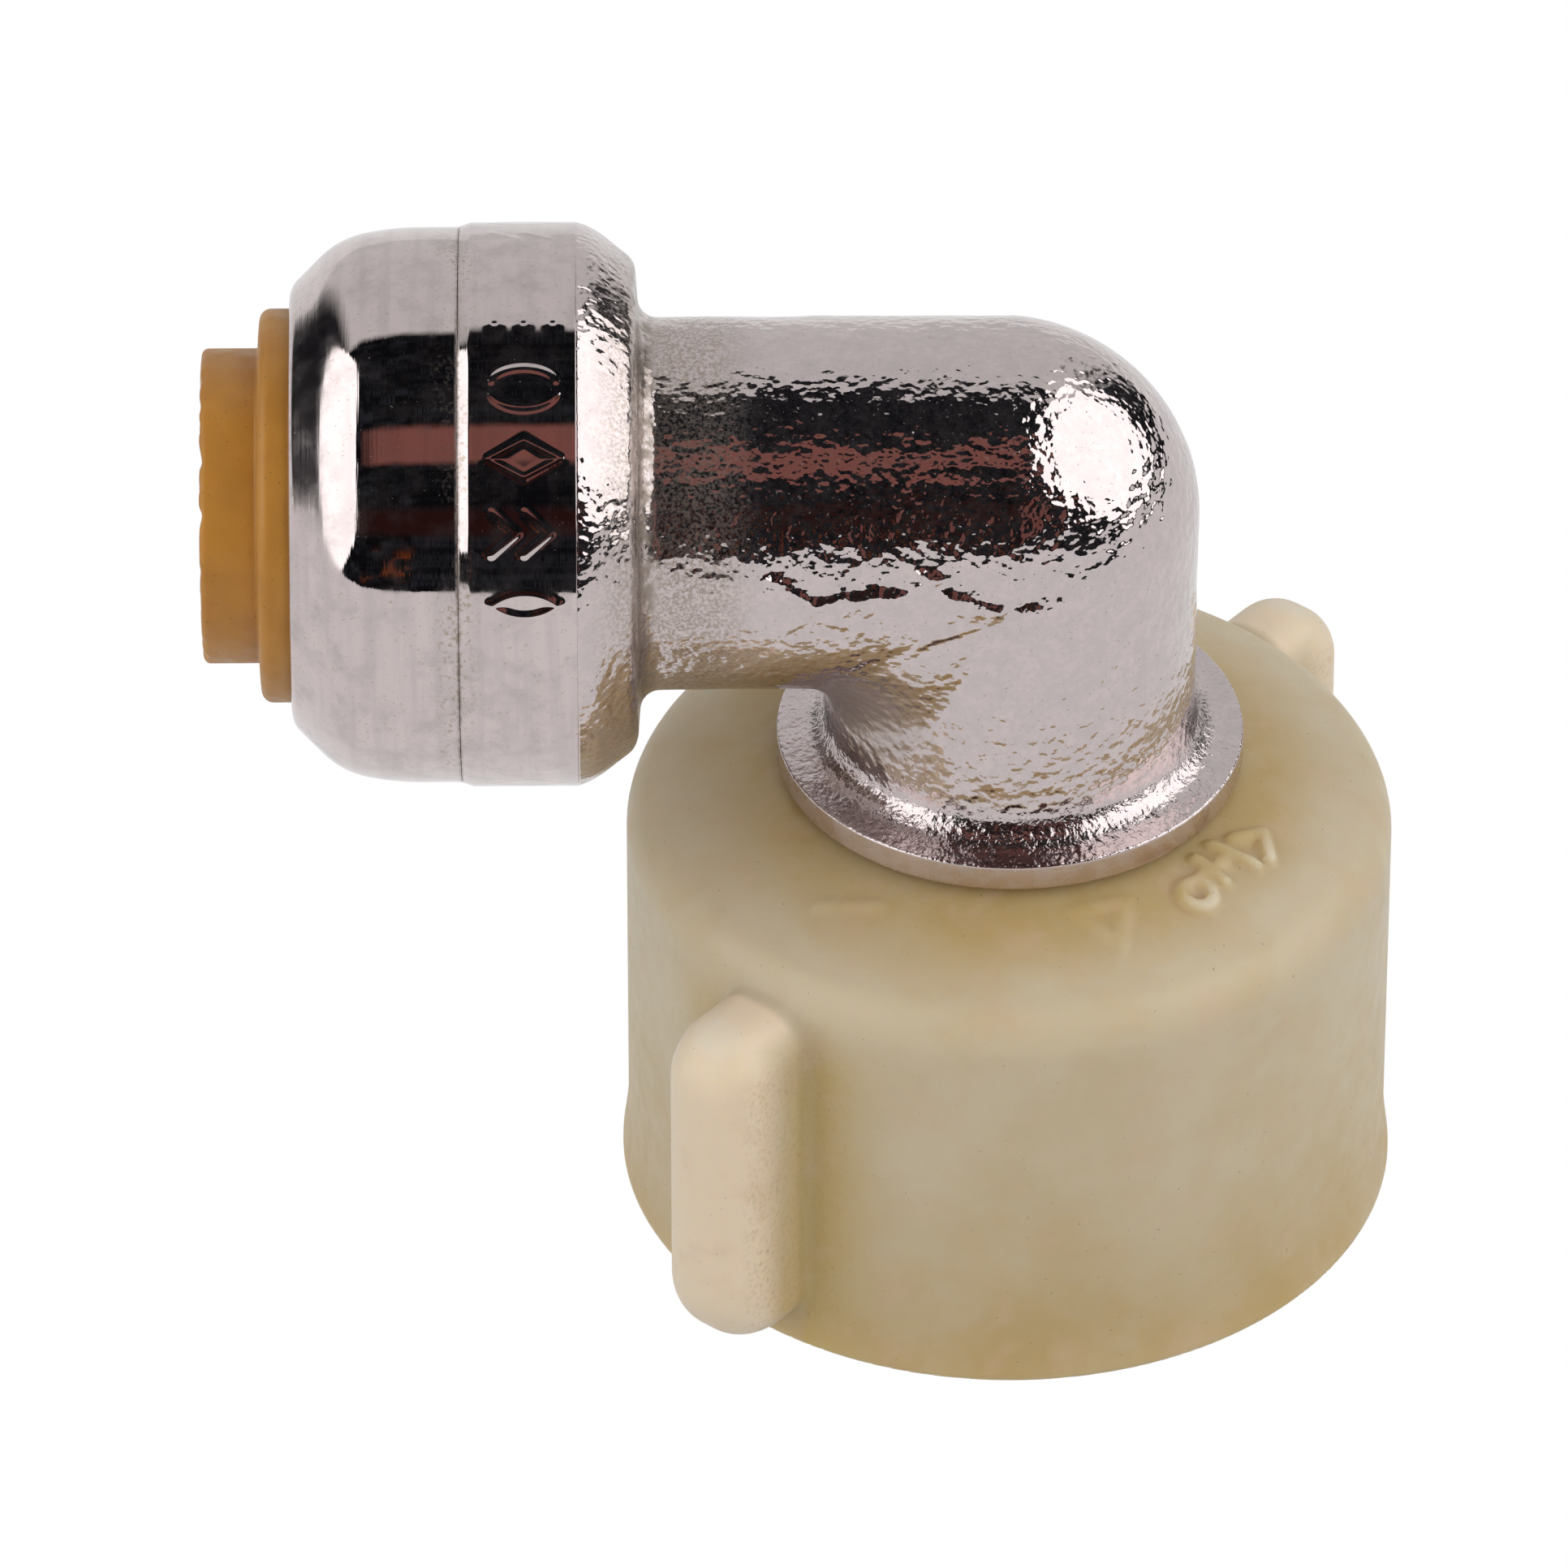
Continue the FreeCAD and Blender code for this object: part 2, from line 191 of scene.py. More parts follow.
def rounded_outline(corners, arc_step=12, longest=0.5, support=0.05):
    """Closed outline (r, place) through corners (r, place) or (r, place, rounding radius).

    Each straight stretch gets a point close to either end, which keeps it straight when shaded smooth.
    """
    count = len(corners)
    pieces = []
    for i, corner in enumerate(corners):
        here = np.array(corner[:2], float)
        rounding = corner[2] if len(corner) > 2 else 0
        if not rounding:
            pieces.append([here])
            continue
        before = np.array(corners[i - 1][:2], float) - here
        after = np.array(corners[(i + 1) % count][:2], float) - here
        before /= np.linalg.norm(before)
        after /= np.linalg.norm(after)
        half = math.acos(np.clip(before @ after, -1, 1)) / 2
        centre = here + (before + after) / np.linalg.norm(before + after) * rounding / math.sin(half)
        start = here + before * rounding / math.tan(half) - centre
        end = here + after * rounding / math.tan(half) - centre
        turn = math.atan2(start[0] * end[1] - start[1] * end[0], start @ end)
        by_angle = math.ceil(abs(math.degrees(turn)) / arc_step)
        steps = max(2, by_angle, math.ceil(abs(turn) * rounding / longest))
        arc = []
        for k in range(steps + 1):
            cos, sin = math.cos(turn * k / steps), math.sin(turn * k / steps)
            turned = [cos * start[0] - sin * start[1], sin * start[0] + cos * start[1]]
            arc.append(centre + np.array(turned))
        pieces.append(arc)
    outline = []
    for i, piece in enumerate(pieces):
        outline.extend(piece)
        start, end = piece[-1], pieces[(i + 1) % count][0]
        length = np.linalg.norm(end - start)
        if length < 3 * support:
            continue
        inner = max(1, math.ceil((length - 2 * support) / longest))
        for k in range(inner + 1):
            outline.append(start + (end - start) * (support + (length - 2 * support) * k / inner) / length)
    return np.array(outline)


FRONT = 1.5 * math.pi


def around(columns, crowding=0.0):
    """Angles round a ring, crowded towards the side that faces -Y."""
    even = np.linspace(0, 2 * math.pi, columns, endpoint=False)
    return even - crowding * np.sin(even - FRONT)


def turned_on_leg(outline, angle):
    """Rings about the leg's axis from an outline of (r, height)."""
    r, z = outline[:, :1], outline[:, 1:]
    return np.stack([r * np.cos(angle), r * np.sin(angle), z + 0 * angle], axis=-1)


def turned_on_port(outline, angle):
    """Rings about the port's axis from an outline of (r, place)."""
    r, s = outline[:, :1], outline[:, 1:]
    return np.stack([-s + 0 * angle, r * np.sin(angle), ARM_Z + r * np.cos(angle)], axis=-1)


def ring_normals(rings):
    """Unit normals of a closed grid of rings, pointing out of the solid it bounds."""
    along = np.roll(rings, -1, axis=0) - np.roll(rings, 1, axis=0)
    across = np.roll(rings, -1, axis=1) - np.roll(rings, 1, axis=1)
    normal = np.cross(along, across)
    normal /= np.maximum(np.linalg.norm(normal, axis=-1, keepdims=True), 1e-12)
    return normal if enclosed_volume(rings) > 0 else -normal


def enclosed_volume(rings):
    """Signed volume inside a closed grid, positive when along x across points outwards."""
    a = rings
    b = np.roll(rings, -1, axis=0)
    c = np.roll(b, -1, axis=1)
    d = np.roll(rings, -1, axis=1)
    return (np.sum(a * np.cross(b, c)) + np.sum(a * np.cross(c, d))) / 6


# ---- mesh helpers ----

def placed(name, data):
    """A new object in the scene."""
    made = bpy.data.objects.new(name, data)
    bpy.context.scene.collection.objects.link(made)
    return made


def mesh_object(name, vertices_mm, faces):
    mesh = bpy.data.meshes.new(name)
    mesh.from_pydata((np.asarray(vertices_mm) * MM).tolist(), [], faces)
    mesh.polygons.foreach_set("use_smooth", [True] * len(mesh.polygons))
    mesh.update()
    return placed(name, mesh)


def ring_object(name, rings):
    """A closed grid of rings as one object. The last ring joins the first."""
    rows, columns = rings.shape[:2]
    row = np.arange(rows)[:, None] * columns
    column = np.arange(columns)[None, :]
    next_row = np.roll(row, -1)
    next_column = np.roll(column, -1)
    quads = [row + column, next_row + column, next_row + next_column, row + next_column]
    quads = np.stack(quads, axis=-1).reshape(-1, 4)
    if enclosed_volume(rings) < 0:
        quads = quads[:, ::-1]
    return mesh_object(name, rings.reshape(-1, 3), quads.tolist())


def finish_piece(piece, body, slot, material, *nodes):
    """Rides the piece on its body and lets it stand for the CAD nodes; the slot argument is not used."""
    if material is not None:
        piece.data.materials.append(material)
    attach(piece, body)
    if nodes:
        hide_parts(*nodes)


# ---- material helpers ----

class Nodes:
    """A node tree, built with short calls."""

    def __init__(self, tree):
        self.tree = tree
        tree.nodes.clear()

    def add(self, kind, inputs, **settings):
        node = self.tree.nodes.new(kind)
        for key, value in settings.items():
            setattr(node, key, value)
        for key, value in inputs.items():
            self.feed(node.inputs[key], value)
        return node

    def feed(self, socket, value):
        if isinstance(value, bpy.types.NodeSocket):
            self.tree.links.new(value, socket)
        else:
            socket.default_value = value

    def math(self, operation, a, b=0.0, clamp=False):
        return self.add("ShaderNodeMath", {0: a, 1: b}, operation=operation, use_clamp=clamp).outputs[0]

    def times(self, *values):
        return functools.reduce(lambda a, b: self.math("MULTIPLY", a, b), values)

    def most(self, *values):
        return functools.reduce(lambda a, b: self.math("MAXIMUM", a, b), values)

    def plus(self, *values):
        return functools.reduce(lambda a, b: self.math("ADD", a, b), values)

    def minus(self, a, b):
        return self.math("SUBTRACT", a, b)

    def length(self, a, b):
        return self.math("SQRT", self.plus(self.times(a, a), self.times(b, b)))

    def step(self, value, low, high, out_low=0.0, out_high=1.0):
        """Smooth step of a value between two limits."""
        inputs = {"Value": value, "From Min": low, "From Max": high, "To Min": out_low, "To Max": out_high}
        return self.add("ShaderNodeMapRange", inputs, interpolation_type="SMOOTHSTEP").outputs[0]

    def mix(self, factor, a, b):
        node = self.add("ShaderNodeMix", {"Factor": factor}, data_type="RGBA")
        self.feed(node.inputs["A"], a)
        self.feed(node.inputs["B"], b)
        return node.outputs["Result"]


class Shader(Nodes):
    """A material with one Principled surface. Its places are the object's own, in metres."""

    def __init__(self, name):
        self.material = bpy.data.materials.new(name)
        self.material.use_nodes = True
        super().__init__(self.material.node_tree)
        self.surface = self.tree.nodes.new("ShaderNodeBsdfPrincipled")
        output = self.tree.nodes.new("ShaderNodeOutputMaterial")
        self.tree.links.new(self.surface.outputs[0], output.inputs["Surface"])
        self.place = self.add("ShaderNodeTexCoord", {}).outputs["Object"]
        self.axes = self.add("ShaderNodeSeparateXYZ", {0: self.place}).outputs

    def step_mm(self, value, low, high, out_low=0.0, out_high=1.0):
        """Smooth step of a length between two limits in millimetres."""
        return self.step(value, low * MM, high * MM, out_low, out_high)

    def noise(self, size_mm, detail=2.0, roughness=0.5, stretch=None):
        """Noise whose lumps are about size_mm across."""
        place = self.place
        if stretch is not None:
            place = self.add("ShaderNodeMapping", {"Vector": place, "Scale": stretch}).outputs[0]
        inputs = {"Vector": place, "Scale": 1 / (size_mm * MM), "Detail": detail, "Roughness": roughness}
        return self.add("ShaderNodeTexNoise", inputs).outputs["Fac"]

    def specks(self, size_mm, share, softness=0.03):
        """Mask of scattered spots; share is the least noise value that makes one."""
        return self.step(self.noise(size_mm, 1.0), share, share + softness)

    def uneven(self, size_mm, low, high):
        """A value that wanders between two limits."""
        return self.step(self.noise(size_mm, 3.0), 0.3, 0.7, low, high)

    def bump(self, height, depth_mm, under=None):
        inputs = {"Height": height, "Distance": depth_mm * MM, "Strength": 1.0}
        if under is not None:
            inputs["Normal"] = under
        return self.add("ShaderNodeBump", inputs).outputs[0]

    def set(self, **values):
        for key, value in values.items():
            self.feed(self.surface.inputs[key.replace("_", " ")], value)
        return self.material


CHROME = (0.65, 0.566, 0.558, 1.0)
CHROME_HAZED = (0.56, 0.50, 0.50, 1.0)
CHROME_DUSTED = (0.58, 0.51, 0.505, 1.0)
CHROME_SMEARED = (0.49, 0.435, 0.43, 1.0)
CHROME_BANDED = (0.52, 0.46, 0.455, 1.0)
STAIN = (0.40, 0.32, 0.25, 1.0)
# Grime for real dirt, and for the painted shade in the forging's crease.
GRIME = (0.15, 0.11, 0.06, 1.0)

NYLON = (0.66, 0.562, 0.39, 1.0)
# Ochre for the lower part of the nut, and for the painted shade close to the flange.
NYLON_OCHRE_AND_SHADE = (0.545, 0.39, 0.165, 1.0)
# Painted shade beside the wings.
NYLON_SHADE_BY_WING = (0.58, 0.43, 0.165, 1.0)
# Painted light on the wings.
NYLON_LIT_WING = (0.86, 0.72, 0.54, 1.0)
# Painted highlight on the raised marks.
NYLON_HIGHLIGHT_ON_MARKS = (0.84, 0.76, 0.62, 1.0)
NYLON_BLUSH = (0.69, 0.52, 0.36, 1.0)
NYLON_GRUBBY = (0.50, 0.36, 0.17, 1.0)
NYLON_SPOTS = (0.16, 0.11, 0.05, 1.0)

ACETAL = (0.53, 0.245, 0.037, 1.0)
ACETAL_DARK = (0.46, 0.205, 0.03, 1.0)
ACETAL_SPOTS = (0.07, 0.045, 0.02, 1.0)
STEEL = (0.62, 0.62, 0.63, 1.0)
STEEL_DARK = (0.50, 0.50, 0.51, 1.0)


def port_zone(shader, start, end, soft):
    """1 where the place along the port is between start and end, in millimetres."""
    rises = shader.step_mm(shader.axes["X"], -(end + soft), -end)
    falls = shader.step_mm(shader.axes["X"], -start, -(start - soft), 1.0, 0.0)
    return shader.times(rises, falls)


def forged_chrome():
    """Plated forging: peel all over, a hazy film by the head, dull dirt in the corners, and painted shade in the
    rougher crease.
    """
    shader = Shader("forged_chrome")
    step, times, mix = shader.step, shader.times, shader.mix
    x, z = shader.axes["X"], shader.axes["Z"]

    patches = step(shader.noise(3.5, 1.0), 0.35, 0.65, 0.72, 1.15)
    up_leg = shader.step_mm(z, 24.5, 28.5, 0.72, 1.0)
    peel = times(shader.noise(0.42, 1.0, roughness=0.35), times(patches, up_leg))
    normal = shader.bump(peel, 0.082)
    normal = shader.bump(shader.noise(0.17, 1.0, roughness=0.4), 0.008, normal)
    by_flange = shader.step_mm(z, FLANGE_TOP + 0.3, FLANGE_TOP + 1.8, 1.0, 0.0)
    normal = shader.bump(times(by_flange, shader.noise(0.22)), 0.06, normal)

    haze = step(shader.noise(0.9, 5.0, roughness=0.7), 0.36, 0.7)
    in_corner = times(port_zone(shader, HEAD_REAR - 0.4, HEAD_REAR - 0.03, 0.5),
                      step(shader.noise(0.5, 3.0), 0.3, 0.6))
    film = times(port_zone(shader, 12.0, HEAD_REAR - 0.15, 2.4),
                 step(shader.noise(0.14, 4.0, roughness=0.7), 0.42, 0.6))
    # Painted shade: the metal turns darker and less metallic towards the crease under the arm; it is also rougher
    # there.
    from_crease = shader.length(shader.plus(x, (ARM_R - 1.0) * MM), shader.minus(z, (ARM_Z - ARM_R + 1.0) * MM))
    crease = shader.step_mm(from_crease, 0.8, 4.0, 1.0, 0.0)
    pits = shader.specks(0.15, 0.7, 0.05)
    # dirt holds real dirt in the corner, the film and the pits, and the painted shade of the crease.
    dirt = shader.most(times(in_corner, 0.6), times(film, 0.29), times(pits, 0.25), times(crease, 0.2))
    dust = step(shader.noise(0.26, 3.0, roughness=0.6), 0.4, 0.7)

    tarnish = mix(haze, CHROME, CHROME_HAZED)
    tarnish = mix(dust, tarnish, CHROME_DUSTED)
    tarnish = mix(times(film, 0.5), tarnish, STAIN)
    metal = shader.minus(1.0, times(haze, 0.02))
    metal = shader.minus(metal, times(dust, 0.015))
    metal = shader.minus(metal, times(dirt, 0.8))
    rough = shader.plus(step(shader.noise(1.6, 3.0), 0.3, 0.75, 0.03, 0.09),
                        times(crease, 0.22), times(by_flange, 0.1), times(dirt, 0.4))
    return shader.set(Base_Color=mix(dirt, tarnish, GRIME), Metallic=metal, Roughness=rough, Normal=normal)


def turned_chrome():
    """Plated turned faces: faint turning lines, smears, and dirt at the seam between band and cap."""
    shader = Shader("turned_chrome")
    step, times, mix = shader.step, shader.times, shader.mix
    normal = shader.bump(shader.noise(0.12, stretch=(1.0, 0.03, 0.03)), 0.0035)
    normal = shader.bump(shader.noise(1.4), 0.006, normal)

    patchy = step(shader.noise(3.0), 0.42, 0.62)
    seam = times(port_zone(shader, LIP_END - 0.03, LIP_END + 0.06, 0.08),
                 step(shader.noise(0.35, 4.0, roughness=0.6), 0.35, 0.65, 0.1, 0.55))
    near_seam = times(port_zone(shader, LIP_END - 0.2, LIP_END + 0.4, 0.9),
                      step(shader.noise(0.18, 4.0), 0.52, 0.66), patchy)
    dirt = shader.most(seam, times(near_seam, 0.1), times(shader.specks(0.13, 0.77), 0.3))
    smear = step(shader.noise(1.3, 5.0, roughness=0.65), 0.42, 0.72)
    bands = step(shader.noise(0.5, 3.0, stretch=(1.0, 0.05, 0.05)), 0.4, 0.7)

    tarnish = mix(times(smear, 0.8), CHROME, CHROME_SMEARED)
    tarnish = mix(times(bands, 0.6), tarnish, CHROME_BANDED)
    tarnish = mix(times(near_seam, 0.7), tarnish, STAIN)
    tarnish = mix(times(shader.specks(0.16, 0.69), 0.5), tarnish, STAIN)
    metal = shader.minus(1.0, times(smear, 0.025))
    metal = shader.minus(metal, times(dirt, 0.8))
    worn_edge = shader.step_mm(shader.axes["X"], -26.4, -25.6, 0.11, 0.0)
    rough = shader.plus(0.015, times(smear, 0.07), worn_edge, times(dirt, 0.4))
    return shader.set(Base_Color=mix(dirt, tarnish, GRIME), Metallic=metal, Roughness=rough, Normal=normal)


def satin_chrome():
    shader = Shader("satin_chrome")
    return shader.set(
        Base_Color=CHROME,
        Metallic=1.0,
        Roughness=shader.uneven(0.6, 0.22, 0.34),
        Normal=shader.bump(shader.noise(0.1, stretch=(0.05, 0.05, 1.0)), 0.003),
    )


def nut_nylon():
    """Cream nylon, more ochre low down; painted shade by the flange and wings, painted light on wings and marks.
    """
    shader = Shader("nut_nylon")
    step_mm, times, mix = shader.step_mm, shader.times, shader.mix
    x, y, z = (shader.axes[axis] for axis in "XYZ")
    from_axis = shader.length(x, y)
    across = shader.plus(times(x, -math.sin(WING_DIRECTION)), times(y, math.cos(WING_DIRECTION)))
    across = shader.math("ABSOLUTE", across)

    low = step_mm(z, -1.0, 14.0, 0.75, 0.0)
    # Painted shade: the top close to the flange, where the flange shades it, is mixed towards ochre.
    painted_shade_by_flange = times(step_mm(from_axis, 9.8, 14.0, 0.85, 0.0), step_mm(z, 16.0, 18.0))
    cloud = shader.step(shader.noise(4.5, 4.0, roughness=0.6), 0.3, 0.7, -0.2, 0.25)
    # depth is the mix towards ochre: more low down, painted shade by the flange, and random tone.
    depth = shader.math("ADD", shader.most(low, painted_shade_by_flange), cloud, clamp=True)
    colour = mix(depth, NYLON, NYLON_OCHRE_AND_SHADE)

    # Painted shade: the hollow beside each wing, where the wing shades the nut's side, is mixed towards ochre.
    painted_shade_by_wing = times(
        step_mm(across, 1.8, 2.1), step_mm(across, 2.2, 5.6, 1.0, 0.0),
        step_mm(from_axis, 15.6, 17.5, 1.0, 0.0), step_mm(from_axis, 13.6, 15.0),
        step_mm(z, 13.5, 16.5, 1.0, 0.0))
    colour = mix(times(painted_shade_by_wing, 0.85), colour, NYLON_SHADE_BY_WING)
    # Painted light: the wings are paler, most on their rounded edges and outer ends, least on their flat sides.
    painted_light_on_wing = shader.most(step_mm(across, 1.3, 2.05, 1.0, 0.15), step_mm(from_axis, 16.1, 18.3))
    painted_light_on_wing = times(step_mm(from_axis, 15.5, 16.0), painted_light_on_wing)
    colour = mix(painted_light_on_wing, colour, NYLON_LIT_WING)

    # Painted highlight: the raised marks, and whatever else stands above the sloping top, are paler.
    above_cone = shader.plus(times(shader.minus(from_axis, NUT_CONE_R * MM), math.sin(NUT_TILT)),
                             times(shader.minus(z, NUT_TOP * MM), math.cos(NUT_TILT)))
    colour = mix(step_mm(above_cone, 0.03, 0.3, 0.0, 0.65), colour, NYLON_HIGHLIGHT_ON_MARKS)
    blush = shader.step(shader.noise(2.2, 3.0), 0.5, 0.75, 0.0, 0.4)
    colour = mix(blush, colour, NYLON_BLUSH)

    grubby = times(
        step_mm(across, 1.7, 2.0), step_mm(across, 3.0, 4.5, 1.0, 0.0),
        step_mm(from_axis, 14.8, 15.3), step_mm(z, 14.5, 16.0, 1.0, 0.0),
        shader.step(shader.noise(0.2), 0.45, 0.7, 0.0, 0.3))
    colour = mix(grubby, colour, NYLON_GRUBBY)
    from_parting = shader.math("ABSOLUTE", shader.minus(z, 2.1 * MM))
    parting = times(
        step_mm(from_parting, 0.05, 0.16, 1.0, 0.0), step_mm(from_axis, 16.5, 17.5),
        shader.step(shader.noise(0.9, 4.0), 0.5, 0.6, 0.0, 0.45))
    spots = shader.most(times(shader.specks(0.2, 0.765), 0.4), parting)
    colour = mix(spots, colour, NYLON_SPOTS)

    normal = shader.bump(shader.noise(1.6), 0.02)
    normal = shader.bump(shader.noise(0.3, 3.0), 0.006, normal)
    shader.surface.subsurface_method = "RANDOM_WALK"
    return shader.set(
        Base_Color=colour,
        Roughness=shader.uneven(0.8, 0.38, 0.52),
        Subsurface_Weight=0.6,
        Subsurface_Radius=(1.0, 0.7, 0.35),
        Subsurface_Scale=0.0025,
        IOR=1.5,
        Normal=normal,
    )


def collar_acetal():
    shader = Shader("collar_acetal")
    cloud = shader.step(shader.noise(2.5, 3.0), 0.35, 0.7)
    spots = shader.times(shader.specks(0.13, 0.73), 0.6)
    return shader.set(
        Base_Color=shader.mix(spots, shader.mix(cloud, ACETAL, ACETAL_DARK), ACETAL_SPOTS),
        Roughness=shader.uneven(0.6, 0.38, 0.52),
        Subsurface_Weight=0.25,
        Subsurface_Radius=(1.0, 0.5, 0.15),
        Subsurface_Scale=0.0015,
        Normal=shader.bump(shader.noise(0.2, 3.0), 0.005),
    )


def plain_plastic(name, colour, darker, roughness):
    shader = Shader(name)
    cloud = shader.step(shader.noise(1.5, 3.0), 0.35, 0.7)
    return shader.set(
        Base_Color=shader.mix(cloud, colour, darker),
        Roughness=shader.uneven(0.5, roughness - 0.05, roughness + 0.08),
        Normal=shader.bump(shader.noise(0.15), 0.003),
    )


def rubber(name, colour, roughness):
    shader = Shader(name)
    bloom = shader.step(shader.noise(1.2, 4.0), 0.45, 0.8)
    pale = tuple(min(1.0, c + 0.03) for c in colour[:3]) + (1.0,)
    return shader.set(
        Base_Color=shader.mix(bloom, colour, pale),
        Roughness=shader.uneven(0.4, roughness - 0.08, roughness + 0.08),
        Normal=shader.bump(shader.noise(0.12, 3.0), 0.006),
    )


def spring_steel():
    shader = Shader("spring_steel")
    return shader.set(
        Base_Color=shader.mix(shader.noise(0.8, 3.0), STEEL, STEEL_DARK),
        Metallic=1.0,
        Roughness=shader.uneven(0.3, 0.18, 0.32),
        Normal=shader.bump(shader.noise(0.08, stretch=(1.0, 0.1, 0.1)), 0.002),
    )


# ---- elbow forging ----

BEND_PIVOT = ARM_R + 1.2
CREASE_ROUND = 1.8
BALL_FLATNESS = 0.2


def bend_outside(points):
    """Distance outside the forging near its bend: arm, leg, the ball between them and the rounded crease."""
    x, y, z = points[..., 0], points[..., 1], points[..., 2] - ARM_Z
    corner = 2 * np.maximum(x, 0) * np.maximum(z, 0) / np.maximum(x ** 2 + z ** 2, 1e-6)
    arm = np.sqrt(np.maximum(x, 0) ** 2 + y ** 2 + z ** 2) - ARM_R + BALL_FLATNESS * corner
    leg = np.sqrt(x ** 2 + y ** 2 + np.maximum(z, 0) ** 2) - ARM_R + BALL_FLATNESS * corner
    rounding = CREASE_ROUND * smooth(0.3, 4.0, np.minimum(-x, -z)) + 1e-6
    return joined(arm, leg, rounding)


def bend_inside(points):
    """Distance outside the drilled waterways near the bend."""
    x, y, z = points[..., 0], points[..., 1], points[..., 2] - ARM_Z
    arm = np.sqrt(np.maximum(x, 0) ** 2 + y ** 2 + z ** 2) - WATERWAY_R
    leg = np.sqrt(x ** 2 + y ** 2 + np.maximum(z, 0) ** 2) - TAIL_BORE_R
    return np.minimum(arm, leg)


def bend_rings(distance, count, angle):
    """Rings from the leg round to the arm, each in a plane through the pivot inside the bend."""
    columns = len(angle)
    turn = np.linspace(0, math.pi / 2, count)[:, None]
    angle = angle[None, :]
    outward = np.stack([np.cos(turn), 0 * turn, np.sin(turn)], axis=-1)
    to_path = BEND_PIVOT / np.maximum(np.cos(turn), np.sin(turn))
    pivot = np.array([-BEND_PIVOT, 0, ARM_Z - BEND_PIVOT])
    centre = pivot + to_path[..., None] * outward
    ray = np.cos(angle)[..., None] * outward + np.sin(angle)[..., None] * np.array([0.0, 1.0, 0.0])
    near = np.zeros((count, columns, 1))
    far = np.full((count, columns, 1), 2.0 * ARM_R)
    for _ in range(30):
        middle = (near + far) / 2
        inside = (distance(centre + middle * ray) < 0)[..., None]
        near = np.where(inside, middle, near)
        far = np.where(inside, far, middle)
    return centre + near * ray


def stretches(corners, **options):
    """An open outline: the rounded outline without the stretch that would close it."""
    outline = rounded_outline(corners, **options)
    last = np.array(corners[-1][:2], float)
    end = int(np.argmin(np.linalg.norm(outline - last, axis=1)))
    return outline[:end + 1]


def forging_rings(angle):
    bend_start = ARM_Z - BEND_PIVOT
    head = stretches([
        (10.3, CUP_FLOOR),
        (10.3, BAND_START + 0.1),
        (HEAD_R - 0.005, BAND_START + 0.01),
        (10.8, 16.4, 3.0),
        (9.5, HEAD_REAR + 0.03, 1.0),
        (ARM_R, HEAD_REAR - 0.12, 0.75),
        (ARM_R, BEND_PIVOT + 0.2),
    ], longest=0.2)
    foot = stretches([
        (ARM_R, bend_start - 0.1),
        (ARM_R, FLANGE_TOP, 1.15),
        (FLANGE_R, FLANGE_TOP, 0.1),
        (FLANGE_R, FLANGE_BOTTOM, 0.12),
        (TAIL_R, FLANGE_BOTTOM),
    ], longest=0.19)
    tail = stretches([
        (TAIL_R, FLANGE_BOTTOM - 0.1),
        (TAIL_R, CLIP_GROOVE_TOP),
        (CLIP_GROOVE_R, CLIP_GROOVE_TOP),
        (CLIP_GROOVE_R, TAIL_STEP_Z),
        (TAIL_STEP_R, TAIL_STEP_Z),
        (TAIL_STEP_R, BARB_TOP),
        (BARB_R, BARB_TOP),
        (BARB_R, BARB_TOP - 0.25),
        (BARB_R - 0.25, TAIL_BOTTOM, 0.1),
        (TAIL_BORE_R, TAIL_BOTTOM, 0.25),
        (TAIL_BORE_R, bend_start - 0.1),
    ], longest=1.5)
    port = stretches([
        (WATERWAY_R, BEND_PIVOT + 0.2),
        (WATERWAY_R, TUBE_STOP, 0.1),
        (TUBE_BORE_R, TUBE_STOP),
        (TUBE_BORE_R, SEAL_BORE_FLOOR, 0.1),
        (SEAL_BORE_R, SEAL_BORE_FLOOR),
        (SEAL_BORE_R, CUP_FLOOR, 0.15),
        (10.2, CUP_FLOOR),
    ], longest=1.5)
    return np.concatenate([
        turned_on_port(head, angle),
        bend_rings(bend_outside, 118, angle)[::-1],
        turned_on_leg(foot, angle),
        turned_on_leg(tail, angle),
        bend_rings(bend_inside, 16, angle),
        turned_on_port(port, angle),
    ])


# Trimmed flash left on the front of the bend, as (x, distance up round the arm from its middle).
FLASH_RIDGES = [
    [(-9.3, 1.5), (-8.9, 1.15), (-7.75, 0.3), (-6.6, 0.75), (-4.0, 0.8)],
    [(-3.6, 1.75), (-3.05, 1.45)],
    [(-2.8, 0.8), (-0.4, 0.0)],
]
FLASH_STEPS = [
    [(-10.1, -1.55), (-9.0, -0.75), (-7.9, -0.3), (-6.4, -0.7), (-4.9, -1.5)],
    [(-4.3, -2.7), (-3.6, -1.75), (-3.1, -1.3), (-1.6, -0.75), (-0.4, -0.5)],
]
FLASH_BEADS = [  # x, distance up, size
    (-9.35, 1.5, 0.24), (-9.0, 1.3, 0.17), (-3.65, 1.75, 0.24), (-3.0, 1.5, 0.2), (-1.0, 0.15, 0.17),
]
FLASH_RIDGE_HEIGHT = 0.17
FLASH_STEP_HEIGHT = 0.09


def from_polyline(x, y, corners):
    """Distance of flat points from a polyline, and how far along it they lie (0 to 1)."""
    nearest = np.full(x.shape, 1e3)
    share = np.zeros(x.shape)
    count = len(corners) - 1
    for i in range(count):
        (ax, ay), (bx, by) = corners[i], corners[i + 1]
        dx, dy = bx - ax, by - ay
        t = np.clip(((x - ax) * dx + (y - ay) * dy) / (dx * dx + dy * dy), 0, 1)
        distance = np.hypot(x - ax - t * dx, y - ay - t * dy)
        share = np.where(distance < nearest, (i + t) / count, share)
        nearest = np.minimum(nearest, distance)
    return nearest, share


